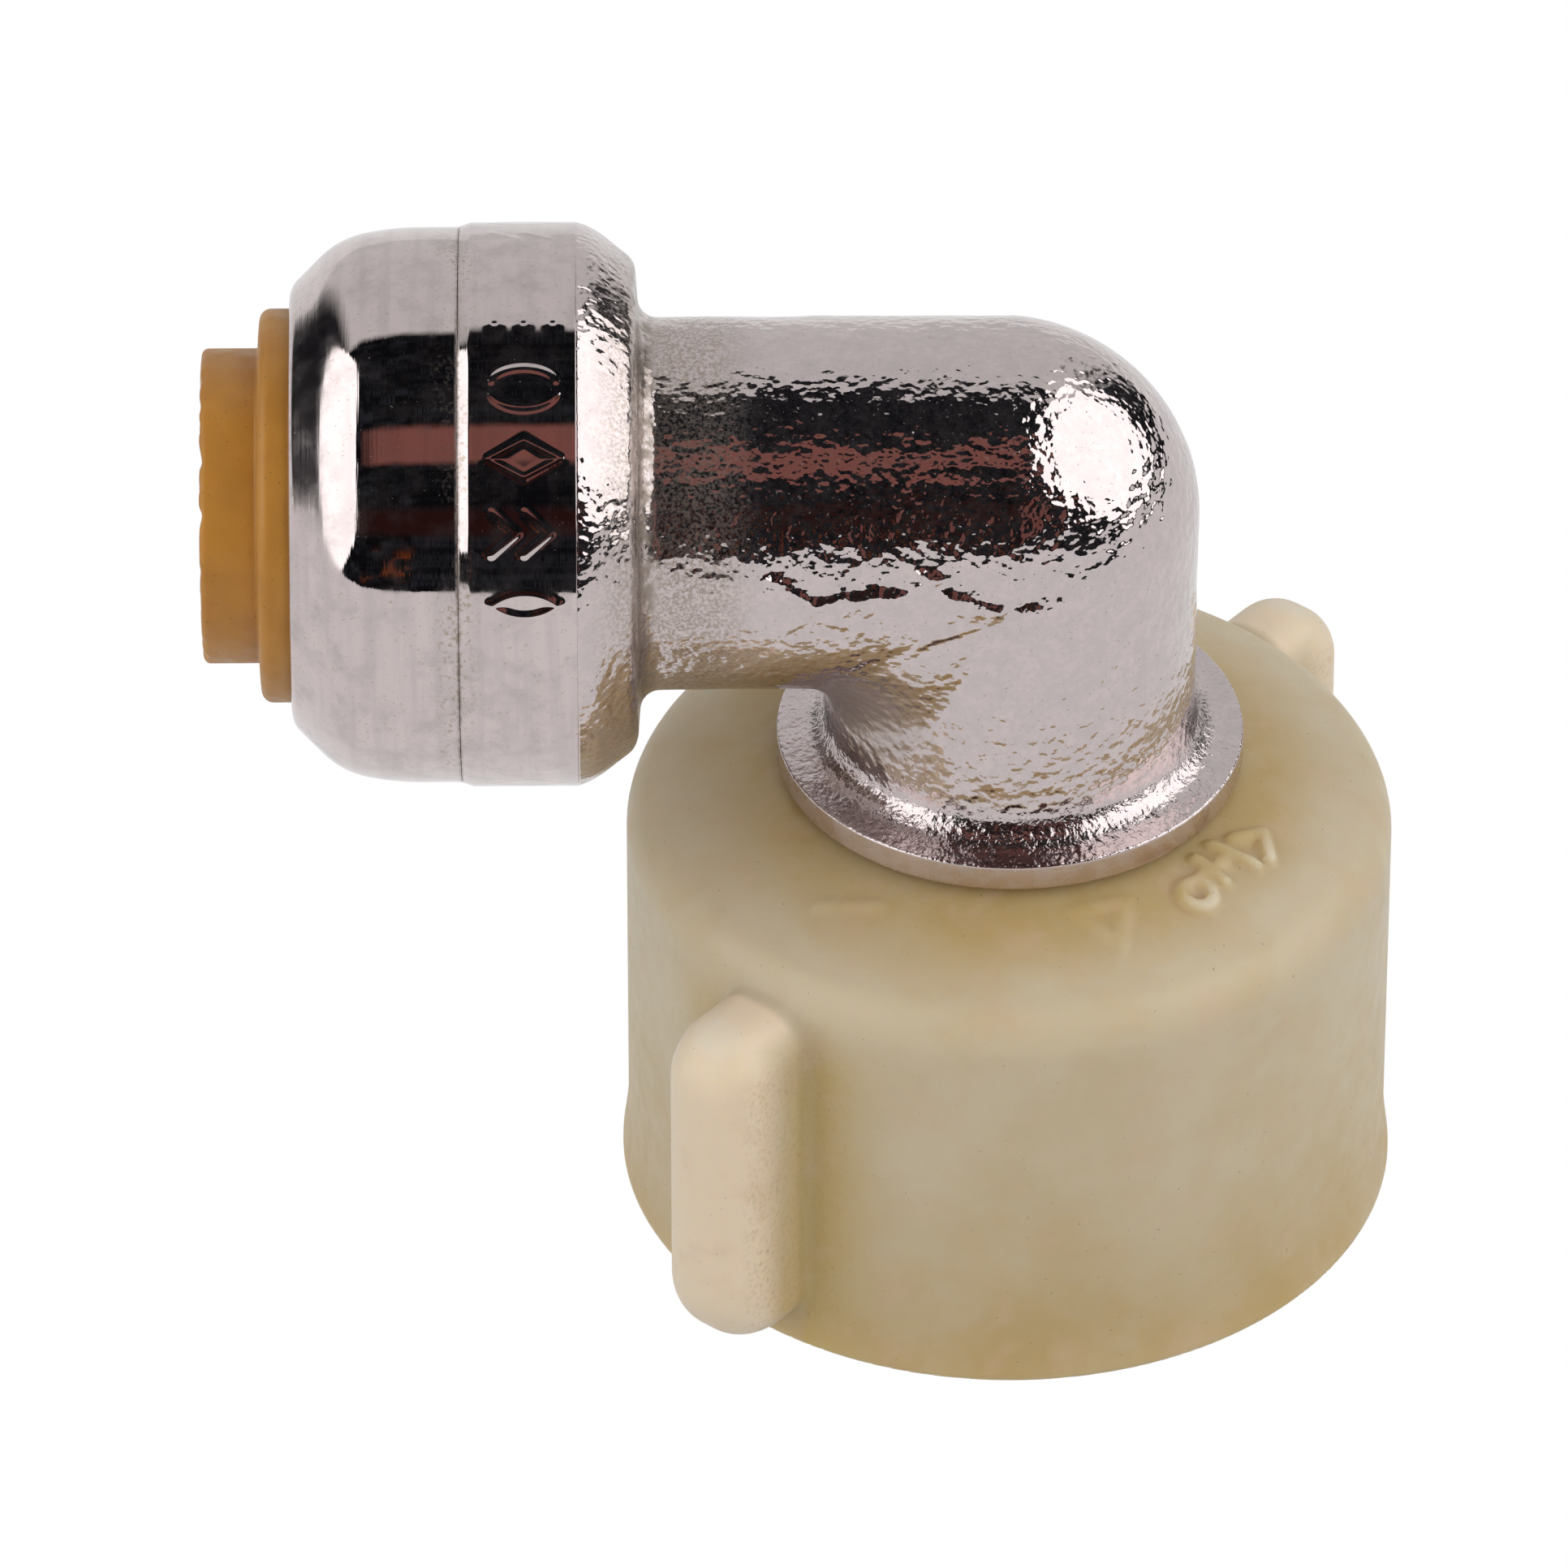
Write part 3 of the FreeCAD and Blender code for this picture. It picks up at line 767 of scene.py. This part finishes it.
def flash_height(points):
    """Height of the trimmed flash on the front of the bend, in millimetres."""
    x, y, z = points[..., 0], points[..., 1], points[..., 2] - ARM_Z
    front = y < -0.6 * ARM_R
    up = ARM_R * np.arcsin(np.clip(z / ARM_R, -1, 1))
    wobble = 0.1 * noise(points, 0.9, 21)
    height = 0 * x
    for corners in FLASH_RIDGES:
        distance, share = from_polyline(x, up + wobble, corners)
        above = up + wobble > np.interp(x, *zip(*corners))
        width = np.where(above, 0.24, 0.7)
        lumps = (1 + 0.25 * noise(points, 0.6, 22)) * np.clip(16 * share * (1 - share), 0, 1)
        height = np.maximum(height, FLASH_RIDGE_HEIGHT * lumps * np.exp(-(distance / width) ** 2))
    for corners in FLASH_STEPS:
        distance, share = from_polyline(x, up + wobble, corners)
        fade = np.sin(math.pi * np.clip(share, 0.04, 0.96))
        height = np.maximum(height, FLASH_STEP_HEIGHT * fade * np.exp(-(distance / 0.18) ** 2))
    for bx, by, size in FLASH_BEADS:
        near = np.hypot(x - bx, up - by) / size
        height = np.maximum(height, 0.9 * size * np.sqrt(np.maximum(1 - near ** 2, 0)))
    return height * front


def forging_swell(points):
    """Height of the forging's own unevenness, in millimetres. It dies out in the crease under the arm."""
    from_crease = np.hypot(points[..., 0] + ARM_R - 1, points[..., 2] - ARM_Z + ARM_R - 1)
    swell = 0.02 * noise(points, 2.4, 3) + 0.019 * noise(points, 0.95, 7) + 0.006 * noise(points, 0.5, 11)
    return swell * smooth(0.8, 3.5, from_crease)


def is_forged(points):
    """1 on the as-forged outside of the arm, leg and head's rear, and 0 on machined and inside faces."""
    x, y, z = np.moveaxis(points, -1, 0)
    from_port = np.hypot(y, z - ARM_Z)
    outside_arm = (from_port > ARM_R - 0.6) & (x < 0) & (z > ARM_Z - HEAD_R - 1)
    outside_leg = (np.hypot(x, y) > ARM_R - 0.6) & (z > FLANGE_TOP - 0.02)
    fade = smooth(-(BAND_START - 0.05), -(BAND_START - 0.5), x)
    flat_top = smooth(FLANGE_R - 0.1, FLANGE_R - 0.5, np.hypot(x, y)) * (z < FLANGE_TOP + 0.3)
    on_flange = np.where(z < FLANGE_TOP + 0.3, flat_top, 1.0)
    return (outside_arm | outside_leg) * fade * on_flange


def build_forging():
    rings = forging_rings(around(264, 0.5))
    height = forging_swell(rings) * is_forged(rings) + flash_height(rings)
    rings = rings + ring_normals(rings) * height[..., None]
    piece = ring_object("elbow_forging", rings)
    piece.data.materials.append(forged_chrome())
    piece.data.materials.append(satin_chrome())
    satin = []
    for face in piece.data.polygons:
        x, y, z = face.center / MM
        below_flange_top = TAIL_BOTTOM - 1 < z < FLANGE_TOP - 0.07
        satin.append(int(below_flange_top and math.hypot(x, y) < FLANGE_R + 1))
    piece.data.polygons.foreach_set("material_index", satin)
    finish_piece(piece, "root", "chrome_brass", None, "fitting_body")


# ---- head band and cap ----

def curve(radius_u, radius_v, start=0.0, end=360.0, middle=(0.0, 0.0), steps=18):
    turns = np.radians(np.linspace(start, end, steps))
    return [(middle[0] + radius_u * math.sin(t), middle[1] + radius_v * math.cos(t)) for t in turns]


# Raised marks as strokes in a box from -1 to 1 each way: (round the head, along it).
MARKS = {
    "diamond": [[(0, -1), (0.75, 0), (0, 1), (-0.75, 0), (0, -1)]],
    "crescents": [curve(0.8, 0.95, 200, 340), curve(0.8, 0.95, 20, 160)],
    "lens": [curve(1.4, 1.2, 40, 140, (-0.95, 0.0)), curve(1.4, 1.2, 220, 320, (0.95, 0.0))],
    "chevrons": [[(-0.8, -0.9), (0, -0.2), (0.8, -0.9)], [(-0.8, 0.0), (0, 0.7), (0.8, 0.0)]],
    "wave": [curve(0.8, 0.5, 0, 180, (0.0, 0.5)) + curve(0.8, 0.5, 0, -180, (0.0, -0.5))],
    "dots": [curve(0.16, 0.12, middle=(0.0, v)) for v in (-0.8, 0.0, 0.8)],
}
MARK_ORDER = [
    "crescents", "diamond", "chevrons", "lens", "dots", "crescents",
    "wave", "diamond", "lens", "chevrons", "crescents", "dots",
]
MARK_STEP = math.radians(15.0)
MARK_FIRST = FRONT + math.radians(37.3 + 23.0)
MARK_HALF_WIDTH = 1.0
MARK_HALF_LENGTH = 1.4
MARK_MIDDLE = 18.95
MARK_STROKE = 0.17
MARK_HEIGHT = 0.06
BOLDEST_MARK = math.radians(43)  # bearing from the front


def mark_height(angle, place):
    """Height of the head's raised marks at an angle round the port's axis and a place along it."""
    height = 0 * angle * place
    for i in range(round(2 * math.pi / MARK_STEP)):
        middle = MARK_FIRST - i * MARK_STEP
        turn = (middle - angle + math.pi) % (2 * math.pi) - math.pi
        across = turn * HEAD_R + 0 * place
        along = MARK_MIDDLE - place + 0 * angle
        near = np.abs(across) < 2 * MARK_HALF_WIDTH
        boldness = smooth(0.5, 0.95, math.cos(middle - FRONT - BOLDEST_MARK))
        depth = MARK_HEIGHT * (0.25 + 0.75 * boldness)
        for stroke in MARKS[MARK_ORDER[i % len(MARK_ORDER)]]:
            corners = [(u * MARK_HALF_WIDTH, v * MARK_HALF_LENGTH) for u, v in stroke]
            distance, _ = from_polyline(across[near], along[near], corners)
            rise = depth * np.exp(-(distance / MARK_STROKE) ** 2)
            height[near] = np.maximum(height[near], rise)
    return height


def build_head_band():
    angle = around(1000, 0.35)
    outline = rounded_outline([
        (CUP_R, BAND_START),
        (HEAD_R, BAND_START),
        (HEAD_R, LIP_START, 0.3),
        (LIP_R + 0.02, LIP_END, 0.04),
        (CUP_R, LIP_END, 0.05),
    ], longest=0.075, support=0.03)
    inside = outline[:, 0] < HEAD_R - 0.5
    keep = ~inside
    keep[np.flatnonzero(inside)[::12]] = True
    keep[[0, -1]] = True
    outline = outline[keep]
    rings = turned_on_port(outline, angle)
    on_band = (outline[:, 0] > HEAD_R - 0.01)[:, None]
    height = mark_height(angle[None, :], outline[:, 1:]) * on_band
    radial = rings - np.array([0, 0, ARM_Z])
    radial[..., 0] = 0
    radial /= np.linalg.norm(radial, axis=-1, keepdims=True)
    piece = ring_object("head_band", rings + radial * height[..., None])
    finish_piece(piece, "root", "chrome_brass", turned_chrome())


def build_end_cap():
    outline = rounded_outline([
        (CAP_CAVITY_R, CAP_SKIRT_END),
        (CAP_SKIRT_R, CAP_SKIRT_END),
        (CAP_SKIRT_R, LIP_END + 0.012),
        (LIP_R, LIP_END + 0.012, 0.03),
        (LIP_R, 24.1, 11.0),
        (10.4, 26.2, 3.4),
        (8.5, CAP_FACE, 0.9),
        (CAP_HOLE_R, CAP_FACE, 0.08),
        (CAP_HOLE_R, CAP_FACE - CAP_WALL),
        (CAP_SHOULDER_R, CAP_FACE - CAP_WALL),
        (CAP_SHOULDER_R, CAP_SHOULDER),
        (CAP_CAVITY_R, CAP_SHOULDER),
    ], arc_step=6, longest=0.2)
    piece = ring_object("end_cap_shell", turned_on_port(outline, around(320)))
    finish_piece(piece, "root", "chrome_brass", turned_chrome(), "end_cap")


def build_collar():
    outline = rounded_outline([
        (PORT_BORE_R, COLLAR_NOSE_END),
        (COLLAR_NOSE_R, COLLAR_NOSE_END, 0.2),
        (6.9, COLLAR_LIP_START),
        (COLLAR_LIP_R, COLLAR_LIP_START, 0.15),
        (COLLAR_LIP_R, COLLAR_LIP_END, 0.15),
        (COLLAR_FLANGE_R, COLLAR_LIP_END),
        (COLLAR_FLANGE_R, COLLAR_FLANGE_END, 0.45),
        (COLLAR_BARREL_R, COLLAR_FLANGE_END, 0.15),
        (COLLAR_BARREL_R, COLLAR_END, 0.25),
        (PORT_BORE_R, COLLAR_END, 0.2),
    ], longest=0.4)
    rings = turned_on_port(outline, around(256))
    at_end = smooth(COLLAR_END - 0.35, COLLAR_END - 0.05, -rings[..., 0])
    rings[..., 0] += 0.14 * at_end * np.maximum(noise(rings, 0.7, 41), 0)
    piece = ring_object("release_collar_moulding", rings)
    finish_piece(piece, "collar", "collar_plastic", collar_acetal(), "release_collar")


# ---- swivel nut ----

def wing_distance(points):
    """Distance outside the pair of wings, which are slabs with rounded corners and softly rounded edges."""
    cos, sin = math.cos(WING_DIRECTION), math.sin(WING_DIRECTION)
    along = np.abs(points[..., 0] * cos + points[..., 1] * sin)
    across = np.abs(-points[..., 0] * sin + points[..., 1] * cos)
    from_middle = points[..., 2] - WING_MIDDLE
    corner = np.where(from_middle > 0, 2.4, 3.4)
    beyond = np.maximum(along - WING_END + corner, 0)
    height = np.maximum(np.abs(from_middle) - WING_HALF_HEIGHT + corner, 0)
    return common(np.hypot(beyond, height) - corner, across - WING_HALF, WING_EDGE_ROUND)


# Raised marks on the nut's sloping top: bearing, radius, height and strokes (round the nut, outwards).
NUT_MARKS = [
    (-49.5, 11.1, 0.42, [curve(0.62, 0.62)]),
    (-42.5, 10.5, 0.4, [[(-0.7, 0.0), (0.7, 0.0)], [(0.0, -0.75), (0.0, 0.75)]]),
    (-35.0, 10.6, 0.4, [[(-0.2, -0.9), (0.2, 0.9)]]),
    (-27.5, 10.9, 0.42, [[(-0.6, -0.8), (0.5, 0.0), (-0.6, 0.8)]]),
    (-71.0, 10.9, 0.14, [[(-1.1, -0.9), (1.1, -0.9), (0.2, 1.1), (-1.1, -0.9)]]),
    (-126.0, 11.0, 0.13, [[(-1.1, 0.6), (1.1, -0.5)]]),
]
NUT_STROKE = 0.31


def nut_relief(points):
    """Height of the raised marks on the nut's top."""
    height = np.zeros(points.shape[:-1])
    near = (points[..., 2] > 16) & (np.abs(np.hypot(points[..., 0], points[..., 1]) - 11) < 2.6)
    x, y = points[near][:, :2].T
    rise = 0 * x
    for bearing, radius, mark, strokes in NUT_MARKS:
        cos, sin = math.cos(math.radians(bearing)), math.sin(math.radians(bearing))
        for stroke in strokes:
            distance, _ = from_polyline(y * cos - x * sin, x * cos + y * sin - radius, stroke)
            rise = np.maximum(rise, mark * np.exp(-(distance / NUT_STROKE) ** 4))
    height[near] = rise
    return height


def nut_distance(points):
    r = np.hypot(points[..., 0], points[..., 1])
    z = points[..., 2]
    flare = NUT_FLARE * np.clip(1 - z / NUT_FLARE_TOP, 0, 1) ** 1.5
    side = r - NUT_R - flare
    cone = (r - NUT_CONE_R) * math.sin(NUT_TILT) + (z - NUT_TOP) * math.cos(NUT_TILT)
    top = common(z - NUT_TOP, cone, 1.5)
    outside = common(common(side, top, 1.1), -z, 0.4)
    outside = joined(outside, wing_distance(points), 0.4) - nut_relief(points)
    bore = np.maximum(r - NUT_LINED_R, z - NUT_LINED_TOP)
    relief = common(r - NUT_RELIEF_R, z - NUT_WEB_BOTTOM, 0.4)
    recess = np.maximum(r - NUT_RECESS_R, z - NUT_RECESS_TOP)
    hole = r - NUT_HOLE_R
    hollow = np.minimum(np.minimum(bore, relief), np.minimum(recess, hole))
    return common(outside, -hollow, 0.12)


def fitted(points, distance, rounds):
    """Moves points onto the surface where the distance is zero."""
    step = 0.01
    for _ in range(rounds):
        value = distance(points)
        slope = np.stack([
            distance(points + np.array(offset)) - distance(points - np.array(offset))
            for offset in ((step, 0, 0), (0, step, 0), (0, 0, step))
        ], axis=-1) / (2 * step)
        steep = np.maximum(np.sum(slope ** 2, axis=-1, keepdims=True), 0.2)
        points = points - np.clip(value[..., None] / steep, -0.3, 0.3) * slope
    return points


def build_nut_body():
    """The nut's moulding, apart from its threaded lining: a fine even mesh pulled onto its exact surface."""
    cell = 0.24
    low = np.array([NUT_LOW[0] - 0.6, NUT_LOW[1] - 0.6, -0.6])
    high = np.array([NUT_HIGH[0] + 0.6, NUT_HIGH[1] + 0.6, NUT_TOP + 0.6])
    counts = np.ceil((high - low) / cell).astype(int) + 1
    axes = [low[k] + cell * np.arange(counts[k]) for k in range(3)]
    grid = np.stack(np.meshgrid(*axes, indexing="ij"), axis=-1)
    vertices, quads = surface_net(nut_distance(grid), low, cell)
    vertices = fitted(vertices, nut_distance, 4)
    for _ in range(3):
        vertices = fitted(evened(vertices, quads), nut_distance, 3)
    piece = mesh_object("nut_moulding", vertices, quads.tolist())
    finish_piece(piece, "nut", "nut_plastic", NUT_MATERIAL, "swivel_nut")


def evened(vertices, quads):
    """Moves each vertex halfway to the middle of its neighbours."""
    total = np.zeros_like(vertices)
    for k in range(4):
        here, after = quads[:, k], quads[:, (k + 1) % 4]
        for axis in range(3):
            total[:, axis] += np.bincount(here, vertices[after, axis], len(vertices))
            total[:, axis] += np.bincount(after, vertices[here, axis], len(vertices))
    count = 2 * np.bincount(quads.ravel(), minlength=len(vertices))
    return (vertices + total / count[:, None]) / 2


def neighbours(values, axis):
    """Each value along an axis, and the one after it."""
    last = values.shape[axis] - 1
    return values.take(range(last), axis), values.take(range(1, last + 1), axis)


def surface_net(value, low, cell):
    """Quads around the cells where a grid of distances changes sign."""
    inside = value < 0
    sx, sy, sz = value.shape
    total = np.zeros((sx - 1, sy - 1, sz - 1, 3))
    crossings = np.zeros((sx - 1, sy - 1, sz - 1))
    for axis in range(3):
        va, vb = neighbours(value, axis)
        crossed = (va < 0) != (vb < 0)
        share = np.where(crossed, va / np.where(crossed, va - vb, 1), 0)
        others = [k for k in range(3) if k != axis]
        for offsets in ((0, 0), (0, 1), (1, 0), (1, 1)):
            pick = [slice(None)] * 3
            for other, offset in zip(others, offsets):
                pick[other] = slice(offset, offset + total.shape[other])
            hit = crossed[tuple(pick)]
            position = np.zeros(hit.shape + (3,))
            position[..., axis] = share[tuple(pick)]
            position[..., others] = offsets
            total += position * hit[..., None]
            crossings += hit
    used = crossings > 0
    numbers = np.full(used.shape, -1)
    numbers[used] = np.arange(used.sum())
    cells = np.argwhere(used)
    vertices = low + cell * (cells + total[used] / crossings[used][:, None])
    quads = []
    for axis in range(3):
        others = [k for k in range(3) if k != axis]
        a, b = neighbours(inside, axis)
        where = np.argwhere(a != b)
        where = where[np.all(where[:, others] > 0, axis=1)]
        ring = []
        for offsets in ((0, 0), (1, 0), (1, 1), (0, 1)):
            place = where.copy()
            place[:, others] -= offsets
            ring.append(numbers[tuple(place.T)])
        face = np.stack(ring, axis=-1)
        rising = a[tuple(where.T)]
        forward = rising if axis != 1 else ~rising
        face[~forward] = face[~forward][:, ::-1]
        quads.append(face)
    return vertices, np.concatenate(quads)


def thread_depth(turn_share):
    """Depth of the thread's groove, from 0 on the crest to 1 at the root, over one pitch."""
    from_crest = np.abs((turn_share + 0.5) % 1 - 0.5)
    return np.clip((from_crest - 0.211) / 0.239, 0, 1)


def build_nut_thread():
    """The nut's lining: a true helical groove, with a chamfered mouth and a chamfered top."""
    angle = around(288)[None, :]
    z = np.linspace(0.03, THREAD_TOP + 0.35, 110)[:, None]
    depth = THREAD_DEPTH * thread_depth(z / THREAD_PITCH - angle / (2 * math.pi))
    r = THREAD_R + depth
    r = np.maximum(r, 12.02 - z)
    r = np.maximum(r, THREAD_R + (z - THREAD_TOP) * 2.1)
    inner = np.stack([r * np.cos(angle), r * np.sin(angle), z + 0 * angle], axis=-1)
    outer_z = np.linspace(THREAD_TOP + 0.35, 0.06, 6)[:, None]
    outer_r = THREAD_LINING_R + 0 * outer_z
    outer = np.stack([outer_r * np.cos(angle), outer_r * np.sin(angle), outer_z + 0 * angle], axis=-1)
    piece = ring_object("nut_thread", np.concatenate([inner, outer]))
    finish_piece(piece, "nut", "nut_plastic", NUT_MATERIAL)


# ---- CAD pieces that keep their shape ----

def finish_cad_pieces():
    white_ring = plain_plastic("white_ring", (0.74, 0.73, 0.68, 1.0), (0.62, 0.60, 0.54, 1.0), 0.4)
    liner = plain_plastic("liner_plastic", (0.62, 0.62, 0.60, 1.0), (0.52, 0.52, 0.50, 1.0), 0.35)
    steel = spring_steel()
    seal = rubber("seal_rubber", (0.012, 0.012, 0.013, 1.0), 0.35)
    washer = rubber("washer_rubber", (0.03, 0.03, 0.032, 1.0), 0.6)
    finishes = {
        "grip_ring": steel,
        "retaining_clip": steel,
        "grip_ring_seat": white_ring,
        "o_ring_protector": white_ring,
        "thrust_washer": white_ring,
        "o_ring": seal,
        "cone_washer": washer,
        "tube_liner": liner,
    }
    for name, material in finishes.items():
        NODES[name].data.materials.clear()
        NODES[name].data.materials.append(material)


NUT_MATERIAL = nut_nylon()
build_forging()
build_head_band()
build_end_cap()
build_collar()
build_nut_body()
build_nut_thread()
finish_cad_pieces()


# ---- studio ----

FLOOR_HALF = 3.0
FLOOR_DROP = 0.0002
WHITE = (1.0, 1.0, 1.0, 1.0)
BLACK = (0.0, 0.0, 0.0, 1.0)


def build_floor():
    mesh = bpy.data.meshes.new("floor")
    corners = [(x * FLOOR_HALF, y * FLOOR_HALF, 0) for x, y in ((-1, -1), (1, -1), (1, 1), (-1, 1))]
    mesh.from_pydata(corners, [], [(0, 1, 2, 3)])
    floor = placed("floor", mesh)
    shader = Shader("floor_paper")
    path = shader.add("ShaderNodeLightPath", {}).outputs
    glow = shader.plus(0.45, shader.times(path["Is Glossy Ray"], 0.39))
    mesh.materials.append(shader.set(
        Base_Color=BLACK, Roughness=1.0, Specular_IOR_Level=0.0,
        Emission_Color=WHITE, Emission_Strength=shader.most(glow, path["Is Camera Ray"]),
    ))
    floor.location.z = -FLOOR_DROP


WORLD_SOFT = 0.76
ROOM_DARK = (0.005, 0.005, 0.006, 1.0)
ROOM_PALER = (0.022, 0.025, 0.032, 1.0)
ROOM_LOW_STRIPE = (0.026, 0.009, 0.008, 1.0)
ROOM_STRIPE = (0.25, 0.10, 0.083, 1.0)
ROOM_CLUTTER = (0.16, 0.04, 0.012, 1.0)


class Room(Nodes):
    """The world's node tree, lit by direction."""

    def __init__(self, world):
        super().__init__(world.node_tree)
        self.ray = self.add("ShaderNodeTexCoord", {}).outputs["Generated"]
        self.axes = self.add("ShaderNodeSeparateXYZ", {0: self.ray}).outputs

    def dot(self, direction):
        inputs = {0: self.ray, 1: tuple(direction)}
        return self.add("ShaderNodeVectorMath", inputs, operation="DOT_PRODUCT").outputs["Value"]

    def band(self, value, start, full, fades, end):
        """1 between full and fades, and 0 before start and after end."""
        return self.times(self.step(value, start, full), self.step(value, fades, end, 1.0, 0.0))

    def noise(self, scale, detail):
        inputs = {"Vector": self.ray, "Scale": scale, "Detail": detail, "Roughness": 0.6}
        return self.add("ShaderNodeTexNoise", inputs).outputs["Fac"]

    def softbox(self, direction, half_width, half_height, tilt, power, strength):
        """A light around a direction, with its half sizes and tilt in degrees; a higher power is squarer."""
        towards = np.array(direction) / np.linalg.norm(direction)
        sideways = np.cross(towards, (0, 0, 1))
        sideways /= np.linalg.norm(sideways)
        upwards = np.cross(sideways, towards)
        cos, sin = math.cos(math.radians(tilt)), math.sin(math.radians(tilt))
        sideways, upwards = cos * sideways + sin * upwards, cos * upwards - sin * sideways
        ahead = self.most(self.dot(towards), 0.001)
        reaches = []
        for axis, half in ((sideways, half_width), (upwards, half_height)):
            reach = self.math("DIVIDE", self.dot(axis / math.tan(math.radians(half))), ahead)
            reaches.append(self.math("POWER", self.math("ABSOLUTE", reach), power))
        return self.step(self.plus(*reaches), 0.9, 1.08, strength, 0.0)


def build_world():
    """A plain studio: a white sweep behind, a dark room in front and above, and a softbox on each side."""
    world = bpy.data.worlds.new("studio")
    bpy.context.scene.world = world
    world.use_nodes = True
    room = Room(world)
    lift = room.times(room.math("ARCTAN2", room.axes["Z"], room.axes["Y"]), 180 / math.pi)
    sideways = room.math("ABSOLUTE", room.axes["X"])

    backdrop = room.times(room.step(lift, 66.0, 70.0, 0.70, 0.0), room.step(sideways, 0.45, 0.65, 1.0, 0.0))
    ground = room.step(room.axes["Z"], -0.03, 0.0, 0.78, 0.0)
    right = room.softbox((0.812, -0.019, 0.582), 37, 31, 0, 2.3, 1.8)
    left = room.softbox((-0.834, -0.219, 0.506), 38.7, 27.3, 36.7, 4.0, 1.8)
    light = room.most(backdrop, ground, right, left)

    stripe = room.times(room.band(lift, 109.5, 113.5, 125.0, 128.5), room.step(sideways, 0.25, 0.45, 1.0, 0.0))
    patch = room.times(room.softbox((0.32, -0.885, 0.33), 7, 17, 40, 2.0, 1.0), 0.75)
    colour = room.mix(room.step(room.noise(14.0, 3.0), 0.45, 0.7), ROOM_DARK, ROOM_PALER)
    colour = room.mix(room.band(lift, 143.0, 148.0, 154.0, 159.0), colour, ROOM_LOW_STRIPE)
    colour = room.mix(room.most(stripe, patch), colour, ROOM_STRIPE)
    clutter = room.times(room.step(room.noise(9.0, 4.0), 0.56, 0.66), room.band(lift, 160.0, 166.0, 176.0, 180.0),
                         room.step(sideways, 0.3, 0.5, 1.0, 0.0))
    colour = room.mix(clutter, colour, ROOM_CLUTTER)

    grey = room.add("ShaderNodeCombineColor", {0: light, 1: light, 2: light}).outputs[0]
    path = room.add("ShaderNodeLightPath", {}).outputs
    seen = room.mix(path["Is Camera Ray"], room.mix(room.step(light, 0.0, 0.1), colour, grey), WHITE)
    strength = room.most(WORLD_SOFT, path["Is Glossy Ray"], path["Is Camera Ray"])
    background = room.add("ShaderNodeBackground", {"Color": seen, "Strength": strength})
    room.add("ShaderNodeOutputWorld", {"Surface": background.outputs[0]})


def add_fill(name, location, size, power):
    """A soft light that shapes matt surfaces and isn't mirrored in the chrome."""
    data = bpy.data.lights.new(name, "AREA")
    data.shape = "DISK"
    data.size = size
    data.energy = power
    light = placed(name, data)
    light.location = location
    aim = np.array([0.0, 0.0, 0.02]) - np.array(location)
    light.rotation_euler = Vector(aim).to_track_quat("-Z", "Y").to_euler()
    light.visible_glossy = False


CAMERA_LENS = 347.2
CAMERA_DISTANCE = 0.59805
CAMERA_TARGET = np.array([-0.008916, 0.0, 0.01809])
CAMERA_PITCH = math.radians(37.305)
CAMERA_YAW = math.radians(0.55)


def build_camera():
    data = bpy.data.cameras.new("camera")
    data.lens = CAMERA_LENS
    data.sensor_width = 36.0
    camera = placed("camera", data)
    level = math.cos(CAMERA_PITCH)
    back = np.array([-level * math.sin(CAMERA_YAW), -level * math.cos(CAMERA_YAW), math.sin(CAMERA_PITCH)])
    camera.location = CAMERA_TARGET + CAMERA_DISTANCE * back
    camera.rotation_euler = (math.pi / 2 - CAMERA_PITCH, 0.0, -CAMERA_YAW)
    bpy.context.scene.camera = camera


build_floor()
build_world()
add_fill("high", (0.15, -0.6, 0.55), 0.4, 1.3)
add_fill("front", (-0.2, -0.75, 0.4), 0.4, 1.05)
add_fill("right", (0.7, -0.35, 0.25), 0.4, 0.5)
build_camera()
bpy.context.scene.view_settings.view_transform = "Standard"
